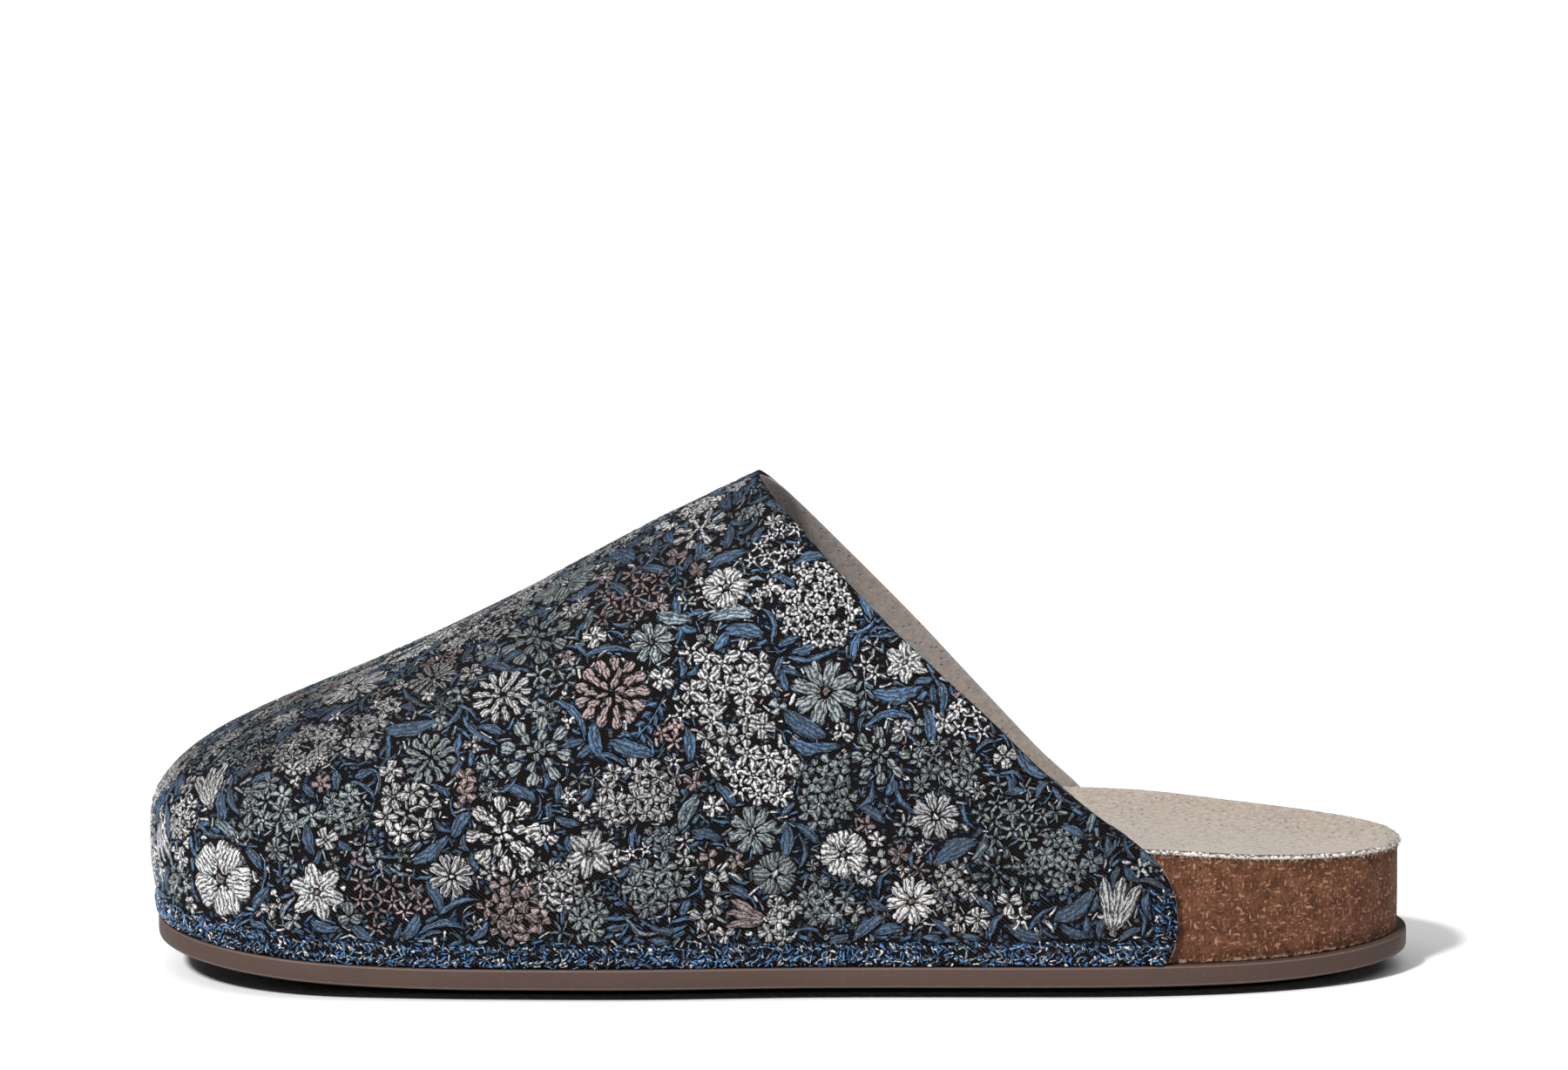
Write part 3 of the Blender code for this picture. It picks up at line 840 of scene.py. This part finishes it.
def motifMesh(name, pads, grade):
    flats, rises, places, roles, faces = [], [], [], [], []
    for pad in pads:
        flat, rise, place = padPoints(pad, grade)
        faces += padFaces(grade, sum(map(len, flats)))
        flats.append(flat.reshape(-1, 2))
        rises.append(rise.ravel())
        places.append(place.reshape(-1, 2))
        roles.append(np.full(rise.size, pad["role"]))
    flat = np.concatenate(flats)
    mesh = bpy.data.meshes.new(name)
    mesh.from_pydata(np.column_stack([flat, np.zeros(len(flat))]).tolist(), [], faces)
    setFloats(mesh, "rise", np.concatenate(rises))
    setFloats(mesh, "role", np.concatenate(roles))
    setUv(mesh, "pad", np.concatenate(places)[cornersOf(mesh)])
    return mesh


def motifMask(pads):  # footprint on a small square of cells, a little wider than the pads
    cells = figure["maskCells"]
    steps = (np.arange(cells) + 0.5) / cells * 2.2 - 1.1
    px, py = np.meshgrid(steps, steps, indexing="ij")
    mask = np.zeros((cells, cells), bool)
    for pad in pads:
        wider = dict(pad, half=pad["half"] + 0.03, length=pad["length"] + 0.06, root=pad["root"] - 0.03)
        flat, _, _ = padPoints(wider, "large")
        loop = np.concatenate([flat[:, 0], flat[-1, 1:], flat[-2::-1, -1], flat[0, -2:0:-1]])
        inside = np.zeros_like(mask)
        for (x0, y0), (x1, y1) in zip(loop, np.roll(loop, -1, 0)):
            crosses = (y0 > py) != (y1 > py)
            inside ^= crosses & (px < (x1 - x0) * (py - y0) / ((y1 - y0) or 1e-9) + x0)
        mask |= inside
    return mask


allMotifs = {**largeMotifs, **smallMotifs}
masks = {name: motifMask(pads) for name, pads in allMotifs.items()}
masks["posy"] = motifMask(disc(1.0, 0.4))

# samples of the cloth stand for its area
draw = np.random.default_rng(figure["seed"])
noise.seed_set(figure["seed"])  # otherwise the clock sets it
quads = grid[:-1, :-1], grid[1:, :-1], grid[1:, 1:], grid[:-1, 1:]
quadArea = np.linalg.norm(np.cross(quads[2] - quads[0], quads[3] - quads[1]), axis=2).ravel() / 2
picked = draw.choice(quadArea.size, figure["samples"], p=quadArea / quadArea.sum())
column, row = np.divmod(picked, grid.shape[1] - 1)
share, shareRow = draw.random((2, figure["samples"], 1))


def blendOver(values):
    values = values.reshape(*grid.shape[:2], -1)
    near = values[column, row] * (1 - share) + values[column + 1, row] * share
    far = values[column, row + 1] * (1 - share) + values[column + 1, row + 1] * share
    return near * (1 - shareRow) + far * shareRow


spots = blendOver(grid) - middle
spotNormals = blendOver(normals)
spotNormals /= np.linalg.norm(spotNormals, axis=1, keepdims=True)
spotHeight, spotEdge = blendOver(heights)[:, 0], blendOver(fromEdges)[:, 0]
onWall = blendOver(np.where(grid[..., 2:] < hem["top"], 1.0, 0.0))[:, 0] > 0.5
foldTop = hem["height"] + hem["margin"]
inRearFold = (spotEdge < foldTop) & onWall & (spots[:, 2] < hem["top"] - hem["bareTop"])
inHem = (spotHeight < foldTop) | inRearFold
farLip = (spotEdge < figure["farLip"]) & (spots[:, 1] > 0.0) & ~inHem
density = figure["samples"] / quadArea.sum()
taken = np.zeros(figure["samples"], bool)
spotTree = KDTree(figure["samples"])
for index, spot in enumerate(spots):
    spotTree.insert(spot, index)
spotTree.balance()
print("cloth samples", figure["samples"], "area", round(quadArea.sum()), "mm2")

placed = {"large": [], "small": []}


def basisAt(index, angle):
    normal = spotNormals[index]
    along = np.cross((0.0, 0.0, 1.0), normal)
    along /= np.linalg.norm(along) + 1e-9
    across = np.cross(normal, along)
    turned = along * math.cos(angle) + across * math.sin(angle)
    return turned, np.cross(normal, turned), normal


def covered(kind, index, angle, size):  # samples under a motif, and the share of it that is on the cloth
    found = np.array([item[1] for item in spotTree.find_range(spots[index], size * 1.1)])
    turned, across, _ = basisAt(index, angle)
    offset = spots[found] - spots[index]
    flat = np.stack([offset @ turned, offset @ across], -1)
    flat *= (np.linalg.norm(offset, axis=1) / (np.linalg.norm(flat, axis=1) + 1e-9))[:, None]
    cells = figure["maskCells"]
    cell = np.clip(((flat / size + 1.1) / 2.2 * cells).astype(int), 0, cells - 1)
    under = found[masks[kind][cell[:, 0], cell[:, 1]]]
    whole = masks[kind].mean() * (2.2 * size) ** 2 * density
    return under, len(under) / whole


def keepMotif(kind, index, angle, size, tint, accent):
    turned, across, normal = basisAt(index, angle)
    turn = Matrix((turned, across, normal)).transposed().to_quaternion()
    grade = "large" if kind in largeMotifs else "small"
    shade = draw.uniform(*figure["shades"])
    if inHem[index]:
        shade *= figure["hemShade"]
    else:
        # painted light and shade by place: paler high up, duller towards the rear
        shade *= np.interp(spots[index][0], *figure["fade"]) * np.interp(spots[index][2], *figure["paintedLightHighUp"])
    # painted shade where the cloth faces up, along the ridge
    shade *= np.interp(spotNormals[index][2], *figure["crown"])
    colour = np.minimum(np.array(tints[tint]) * shade, figure["palest"])
    placed[grade].append({"kind": kind, "at": spots[index], "turn": turn, "size": size * mm,
                          "tint": colour, "accent": np.array(tints[accent])})


def chooseTint(weights):
    names = list(weights)
    odds = np.array([weights[name] for name in names])
    return names[draw.choice(len(names), p=odds / odds.sum())]


accents = {"ivory": ("mauve", "sage"), "pearl": ("mauve", "ivory"), "sage": ("pearl", "mauve"),
           "mauve": ("ivory", "mauve"), "steel": ("ivory", "sage"), "blue": ("steel", "sage"),
           "azure": ("steel", "blue")}
bloomTints = {"ivory": 0.2, "pearl": 0.34, "sage": 0.24, "mauve": 0.16, "steel": 0.06}
leafTints = {"blue": 0.9, "steel": 0.1}
chipTints = {"blue": 0.6, "steel": 0.1, "sage": 0.12, "pearl": 0.18}
fillTints = {"ivory": 0.26, "pearl": 0.22, "sage": 0.2, "mauve": 0.12, "blue": 0.3}
hemTints = {"azure": 0.76, "steel": 0.08, "ivory": 0.1, "pearl": 0.06}
leafKinds = ("leaf", "leafTurned", "blade", "bladeTurned", "spray")
stages = [
    {"kinds": ("rose", "rosette", "star", "aster", "dahlia", "bell"), "tries": 500, "keep": 60,
     "size": (4.6, 8.2), "overlap": 0.0, "angles": 1, "tints": bloomTints},
    {"kinds": ("posy",), "tries": 700, "keep": 100,
     "size": (6.5, 11.0), "overlap": 0.1, "angles": 1, "tints": bloomTints},
    {"kinds": leafKinds, "tries": 900, "keep": 110,
     "size": (3.4, 6.2), "overlap": 0.12, "angles": 8, "tints": leafTints},
    {"kinds": ("posy",), "tries": 1200, "keep": 300,
     "size": (3.4, 6.0), "overlap": 0.32, "angles": 1, "tints": bloomTints},
    {"kinds": ("leaf", "leafTurned", "bladeTurned"), "tries": 2200, "keep": 440,
     "size": (1.9, 4.2), "overlap": 0.24, "angles": 10, "tints": leafTints},
    {"kinds": ("floretFour", "floretFive", "trefoil"), "tries": 1800, "keep": 900,
     "size": (1.4, 2.3), "overlap": 0.16, "angles": 3, "tints": fillTints},
    {"kinds": ("chip", "sliver"), "tries": 3400, "keep": 2600,
     "size": (0.9, 1.8), "overlap": 0.2, "angles": 8, "tints": chipTints},
    {"kinds": ("chip", "berry"), "tries": 3600, "keep": 2600,
     "size": (0.5, 0.95), "overlap": 0.24, "angles": 3, "tints": fillTints},
    {"kinds": ("chip", "sliver"), "tries": 3000, "keep": 1800, "hem": True,
     "size": (0.55, 1.1), "overlap": 0.18, "angles": 5, "tints": hemTints},
    {"kinds": ("chip", "berry"), "tries": 2600, "keep": 2600, "hem": True,
     "size": (0.35, 0.65), "overlap": 0.24, "angles": 3, "tints": hemTints},
]
posy = {
    "kinds": ("floretFour", "floretFive", "trefoil", "starlet"),
    "main": 0.8,  # share of one kind
    "radius": (1.9, 2.9),
    "widths": (0.9, 1.06),
    "pitch": {"trefoil": 1.42, "other": 1.54},  # in radii
    "rowPitch": 0.87,
    "jitter": 0.14,
    "margin": 0.6,
    "reach": 3.0,  # no further from the cloth's samples than this
    "overlap": 0.18,
}


def growPosy(index, size, tint, accent, blocked):  # a round of small florets, mostly of one kind
    kinds = posy["kinds"]
    main, radius = kinds[draw.integers(len(kinds))], draw.uniform(*posy["radius"])
    pitch = radius * posy["pitch"].get(main, posy["pitch"]["other"])
    turned, across, _ = basisAt(index, draw.uniform(0, 6.28))
    reach = int(size / pitch) + 1
    for i in range(-reach, reach + 1):
        for j in range(-reach, reach + 1):
            place = np.array([(i + 0.5 * (j % 2)) * pitch, j * pitch * posy["rowPitch"]])
            u, v = place + draw.normal(0, posy["jitter"], 2)
            kind = main if draw.random() < posy["main"] else kinds[draw.integers(len(kinds))]
            angle, width = draw.uniform(0, 6.28), radius * draw.uniform(*posy["widths"])
            _, spot, away = spotTree.find(spots[index] + turned * u + across * v)
            if math.hypot(u, v) > size - radius * posy["margin"] or away > posy["reach"]:
                continue
            under, onCloth = covered(kind, spot, angle, width)
            clear = blocked[under].mean() < posy["overlap"] and not farLip[under].any()
            if onCloth > figure["onCloth"] and clear:
                taken[under] = True
                keepMotif(kind, spot, angle, width, tint, accent)


for order, stagePlan in enumerate(stages):
    shut = ~inHem if stagePlan.get("hem", False) else inHem
    kept = 0
    for attempt in range(stagePlan["tries"]):
        if attempt % figure["recount"] == 0:
            free = np.flatnonzero(~(taken | shut))
        index = int(free[draw.integers(len(free))])
        kind = stagePlan["kinds"][draw.integers(len(stagePlan["kinds"]))]
        size = draw.uniform(*stagePlan["size"])
        best = None
        for _ in range(stagePlan["angles"]):
            angle = draw.uniform(0, 2 * math.pi)
            under, onCloth = covered(kind, index, angle, size)
            if onCloth < figure["onCloth"] or not len(under) or farLip[under].any():
                continue
            over = (taken[under] | shut[under]).mean()
            if over <= stagePlan["overlap"] and (best is None or over < best[0]):
                best = (over, angle, under)
        if best is None or taken[index]:
            continue
        tint = chooseTint(stagePlan["tints"])
        accent = accents[tint][draw.integers(2)]
        if kind == "posy":
            growPosy(index, size, tint, accent, taken | shut)
        else:
            taken[best[2]] = True
            keepMotif(kind, index, best[1], size, tint, accent)
        kept += 1
        if kept == stagePlan["keep"]:
            break
    print("figure stage", order, kept, {grade: len(items) for grade, items in placed.items()},
          "covered", round(taken[~shut].mean(), 3))


hemRows = {"pitch": 1.25, "heights": (1.4, 3.9), "lean": (0.5, -0.6), "sway": 0.2, "size": (0.6, 0.95),
           "tints": {"ivory": 0.4, "pearl": 0.2, "azure": 0.3, "steel": 0.1}}
for side in ("lateral", "medial"):  # twisted flecks in rows along the hem
    for height, lean in zip(hemRows["heights"], hemRows["lean"]):
        level = np.array([height / hem["height"] * hem["share"]])
        for distance in np.arange(0.5, rearEdge(side, level)[0] - 1.0, hemRows["pitch"]):
            place, _ = upperSurface(side, np.array([distance]), level)
            _, spot, _ = spotTree.find(place[0] - middle)
            tint = chooseTint(hemRows["tints"])
            angle, size = lean + draw.normal(0.0, hemRows["sway"]), draw.uniform(*hemRows["size"])
            keepMotif("sliver", spot, angle, size, tint, tint)


def instanceTree():  # motifs on points, picked by number, made real
    tree = bpy.data.node_groups.new("brocade motifs", "GeometryNodeTree")
    tree.interface.new_socket("Geometry", in_out="INPUT", socket_type="NodeSocketGeometry")
    tree.interface.new_socket("Motifs", in_out="INPUT", socket_type="NodeSocketCollection")
    tree.interface.new_socket("Motif size", in_out="INPUT", socket_type="NodeSocketFloat")
    tree.interface.new_socket("Finish", in_out="INPUT", socket_type="NodeSocketMaterial")
    tree.interface.new_socket("Geometry", in_out="OUTPUT", socket_type="NodeSocketGeometry")
    nodes, link = tree.nodes, tree.links.new
    given, result = nodes.new("NodeGroupInput"), nodes.new("NodeGroupOutput")
    library = nodes.new("GeometryNodeCollectionInfo")
    library.inputs["Separate Children"].default_value = True
    library.inputs["Reset Children"].default_value = True
    link(given.outputs["Motifs"], library.inputs["Collection"])

    def named(name, kind):
        node = nodes.new("GeometryNodeInputNamedAttribute")
        node.data_type = kind
        node.inputs["Name"].default_value = name
        return node.outputs["Attribute"]

    place = nodes.new("GeometryNodeInstanceOnPoints")
    place.inputs["Pick Instance"].default_value = True
    scale = nodes.new("ShaderNodeMath")
    scale.operation = "MULTIPLY"
    link(named("size", "FLOAT"), scale.inputs[0])
    link(given.outputs["Motif size"], scale.inputs[1])
    link(given.outputs["Geometry"], place.inputs["Points"])
    link(library.outputs["Instances"], place.inputs["Instance"])
    link(named("kind", "INT"), place.inputs["Instance Index"])
    link(named("turn", "QUATERNION"), place.inputs["Rotation"])
    link(scale.outputs[0], place.inputs["Scale"])
    real, paint = nodes.new("GeometryNodeRealizeInstances"), nodes.new("GeometryNodeSetMaterial")
    link(place.outputs[0], real.inputs[0])
    link(real.outputs[0], paint.inputs["Geometry"])
    link(given.outputs["Finish"], paint.inputs["Material"])
    link(paint.outputs[0], result.inputs[0])
    return tree


motifTree = instanceTree()


def setInput(modifier, name, value):  # a modifier's input is set by its socket's identifier
    for item in modifier.node_group.interface.items_tree:
        if item.name == name and item.in_out == "INPUT":
            modifier[item.identifier] = value


def plainMesh(obj, name):
    graph = bpy.context.evaluated_depsgraph_get()
    mesh = bpy.data.meshes.new_from_object(obj.evaluated_get(graph))
    mesh.name = name
    bpy.data.objects.remove(obj)
    return mesh


def wrapOnCloth(mesh):  # the pads follow the cloth and stand out by their rise
    count = len(mesh.vertices)
    places, rise = np.empty(count * 3, np.float32), np.empty(count, np.float32)
    mesh.vertices.foreach_get("co", places)
    mesh.attributes["rise"].data.foreach_get("value", rise)
    places = places.reshape(-1, 3)
    for k in range(count):
        place = Vector(places[k])
        for scale, reach in figure["warps"]:
            place += noise.noise_vector(place * scale) * reach * mm
        point, normal, _, _ = clothTree.find_nearest(place)
        places[k] = point + normal * (rise[k] * np.interp(normal.z, *figure["flat"]) * mm)
    mesh.vertices.foreach_set("co", places.ravel())


def bakeAtlas(mesh, grade):  # one cell of the map for each pad, its underside in a corner
    rows, across = len(figure["rows"][grade]), len(figure["across"][grade])
    perPad = rows * across
    cells = math.ceil(math.sqrt(len(mesh.vertices) / perPad))
    sizes = np.empty(len(mesh.polygons), np.int32)
    mesh.polygons.foreach_get("loop_total", sizes)
    under = np.repeat(sizes > 4, sizes)
    pad, inPad = np.divmod(cornersOf(mesh), perPad)
    i, j = np.divmod(inPad, across)
    local = np.stack([i / (rows - 1), j / (across - 1)], -1) * 0.82 + 0.14
    local[under] = local[under] * 0.06 + 0.02
    cell = np.stack([pad % cells, pad // cells], -1)
    setUv(mesh, "OFBake", (cell + local) / cells)


def scatter(name, shapes, items, material):  # shapes by kind on the items' points, made one plain mesh
    kinds = sorted(shapes)
    collection = bpy.data.collections.new("shapes " + name)
    for kind in kinds:
        collection.objects.link(bpy.data.objects.new(kind, shapes[kind]))
    points = bpy.data.meshes.new(name + " points")
    points.from_pydata([tuple(item["at"] * mm) for item in items], [], [])
    columns = {"kind": ("INT", "value", [kinds.index(item["kind"]) for item in items]),
               "size": ("FLOAT", "value", [item["size"] for item in items]),
               "turn": ("QUATERNION", "value", [tuple(item["turn"]) for item in items])}
    for key in ("tint", "accent"):
        if key in items[0]:
            columns[key] = ("FLOAT_COLOR", "color", [(*item[key], 1.0) for item in items])
    for key, (kind, field, values) in columns.items():
        points.attributes.new(key, kind, "POINT").data.foreach_set(field, np.array(values).ravel())
    holder = bpy.data.objects.new(name + " points", points)
    bpy.context.scene.collection.objects.link(holder)
    modifier = holder.modifiers.new("Shapes", "NODES")
    modifier.node_group = motifTree
    setInput(modifier, "Motifs", collection)
    setInput(modifier, "Motif size", 1.0)
    setInput(modifier, "Finish", material)
    mesh = plainMesh(holder, name)
    for obj in list(collection.objects):
        bpy.data.objects.remove(obj)
    bpy.data.collections.remove(collection)
    print(name, len(items), "shapes", len(mesh.polygons), "faces")
    return mesh


def figurePiece(name, grade, library, items):
    shapes = {kind: motifMesh(kind, pads, grade) for kind, pads in library.items()}
    mesh = scatter(name, shapes, items, figureMaterial)
    wrapOnCloth(mesh)
    bakeAtlas(mesh, grade)
    mesh.update()
    return addPiece(name, mesh, figureMaterial)


figurePiece("brocadeBlooms", "large", largeMotifs, [m for m in placed["large"] if m["kind"] not in leafKinds])
figurePiece("brocadeLeaves", "large", largeMotifs, [m for m in placed["large"] if m["kind"] in leafKinds])
for third, name in enumerate(("brocadeFloretsFirst", "brocadeFloretsSecond", "brocadeFloretsThird")):
    figurePiece(name, "small", smallMotifs, placed["small"][third::3])

# frayed nap along the bare edge of the footbed

nap = {
    "seed": 4,
    "pitch": 0.22,
    "from": 176.0,  # station
    "size": (0.5, 1.2),
    "thickness": 0.11,
    "bends": {"fibreA": -0.3, "fibreB": 0.05, "fibreC": 0.35},
    "outsets": (-0.1, 0.4),  # from the cork's face
    "depth": (0.25, 1.0),
    "lean": (0.1, 0.6),
    "dip": (-0.8, 0.2),
}


def fibreMesh(name, bend):  # thin three-sided horn
    rows, faces = [], [(2, 1, 0), (9, 10, 11)]
    for along in (0.0, 0.35, 0.7, 1.0):
        radius = nap["thickness"] * (1 - 0.75 * along)
        turns = np.arange(3) * 2 * math.pi / 3
        centre = np.array([along, bend * along**2, -0.25 * along**2])
        rows.append(centre + np.stack([0 * turns, radius * np.cos(turns), radius * np.sin(turns)], -1))
    for k in (0, 3, 6):
        faces += [(k + a, k + b, k + 3 + b, k + 3 + a) for a, b in ((0, 1), (1, 2), (2, 0))]
    mesh = bpy.data.meshes.new(name)
    mesh.from_pydata(np.concatenate(rows).tolist(), [], faces)
    return mesh


def napItems():
    pick = np.random.default_rng(nap["seed"])
    start = np.interp(nap["from"], rimStations, rimDistances)
    kinds, items = list(nap["bends"]), []
    for side, sign in (("lateral", -1.0), ("medial", 1.0)):
        for distance in np.arange(start, rimLength - 0.2, nap["pitch"]):
            inner, outer = (np.array(rim(side, distance, -corkInset + outset)) for outset in nap["outsets"])
            top = bedTop(inner[0], sign)
            out = (outer - inner) / np.linalg.norm(outer - inner)
            along = np.array([-out[1], out[0]])
            lie = out * pick.uniform(*nap["lean"]) + along * pick.normal(0.0, 1.0)
            turn = Vector((*lie, pick.uniform(*nap["dip"]))).to_track_quat("X", "Z")
            flat = inner + (outer - inner) * pick.random()
            at = np.array([*flat, top - pick.uniform(*nap["depth"])]) - middle
            items.append({"kind": kinds[pick.integers(3)], "at": at, "turn": turn,
                          "size": pick.uniform(*nap["size"]) * mm})
    return items


fibres = {name: fibreMesh(name, bend) for name, bend in nap["bends"].items()}
addPiece("footbedNap", scatter("footbedNap", fibres, napItems(), napMaterial), napMaterial)

# floor, light and camera

stage = {
    "size": 10.0,
    "drop": 0.0003,
    "tone": (0.94, 0.94, 0.94),
    "ambient": 0.06,
    "lights": {  # direction it comes from, strength and spread in degrees
        "key": ((-0.64, -1.15, 1.0), 4.1, 7.0),
        "overhead": ((0.0, 0.0, 1.0), 1.82, 105.0),
    },
}
floorMesh = bpy.data.meshes.new("floor")
bm = bmesh.new()
bmesh.ops.create_grid(bm, x_segments=1, y_segments=1, size=stage["size"] / 2)
bm.to_mesh(floorMesh)
bm.free()
floor = bpy.data.objects.new("floor", floorMesh)
floorFinish = Finish("studio floor", 0.9)
floorFinish.shader.inputs["Base Color"].default_value = (*stage["tone"], 1.0)
floorMesh.materials.append(floorFinish.material)
bpy.context.scene.collection.objects.link(floor)
floor.location.z = -stage["drop"]


def addLight(name, source, strength, spread):  # even, soft light from one side
    light = bpy.data.lights.new(name, "SUN")
    light.energy, light.angle = strength, math.radians(spread)
    lamp = bpy.data.objects.new(name, light)
    lamp.rotation_euler = Vector(source).to_track_quat("Z", "Y").to_euler()
    bpy.context.scene.collection.objects.link(lamp)


for name, settings in stage["lights"].items():
    addLight(name, *settings)
world = bpy.data.worlds.new("studio")
world.use_nodes = True
world.node_tree.nodes["Background"].inputs["Color"].default_value = (1.0, 1.0, 1.0, 1.0)
world.node_tree.nodes["Background"].inputs["Strength"].default_value = stage["ambient"]
bpy.context.scene.world = world
bpy.context.scene.view_settings.view_transform = "Standard"

view = {
    "width": 1800,
    "height": 1228,
    "pixelsPerMm": 5.455,
    "distance": 1.6,
    "rise": 9.0,  # degrees
    "aim": (0.0, 0.0, 0.047),
    "aimPixel": (894, 848),  # where the aim lies in the photo
    "sensor": 36.0,
}
focal = view["pixelsPerMm"] * 1000 * view["distance"]
tilt = math.radians(view["rise"])
back = Vector((0.0, -math.cos(tilt), math.sin(tilt)))
side, up = Vector((1.0, 0.0, 0.0)), Vector((0.0, math.sin(tilt), math.cos(tilt)))
offX = (view["aimPixel"][0] - view["width"] / 2) / focal
offY = (view["height"] / 2 - view["aimPixel"][1]) / focal
camera = bpy.data.objects.new("camera", bpy.data.cameras.new("camera"))
camera.location = Vector(view["aim"]) + back * view["distance"]
camera.rotation_euler = (-back - side * offX - up * offY).to_track_quat("-Z", "Y").to_euler()
camera.data.sensor_fit = "HORIZONTAL"
camera.data.sensor_width = view["sensor"]
camera.data.lens = focal / view["width"] * view["sensor"]
camera.data.clip_end = 50.0
bpy.context.scene.collection.objects.link(camera)
bpy.context.scene.camera = camera
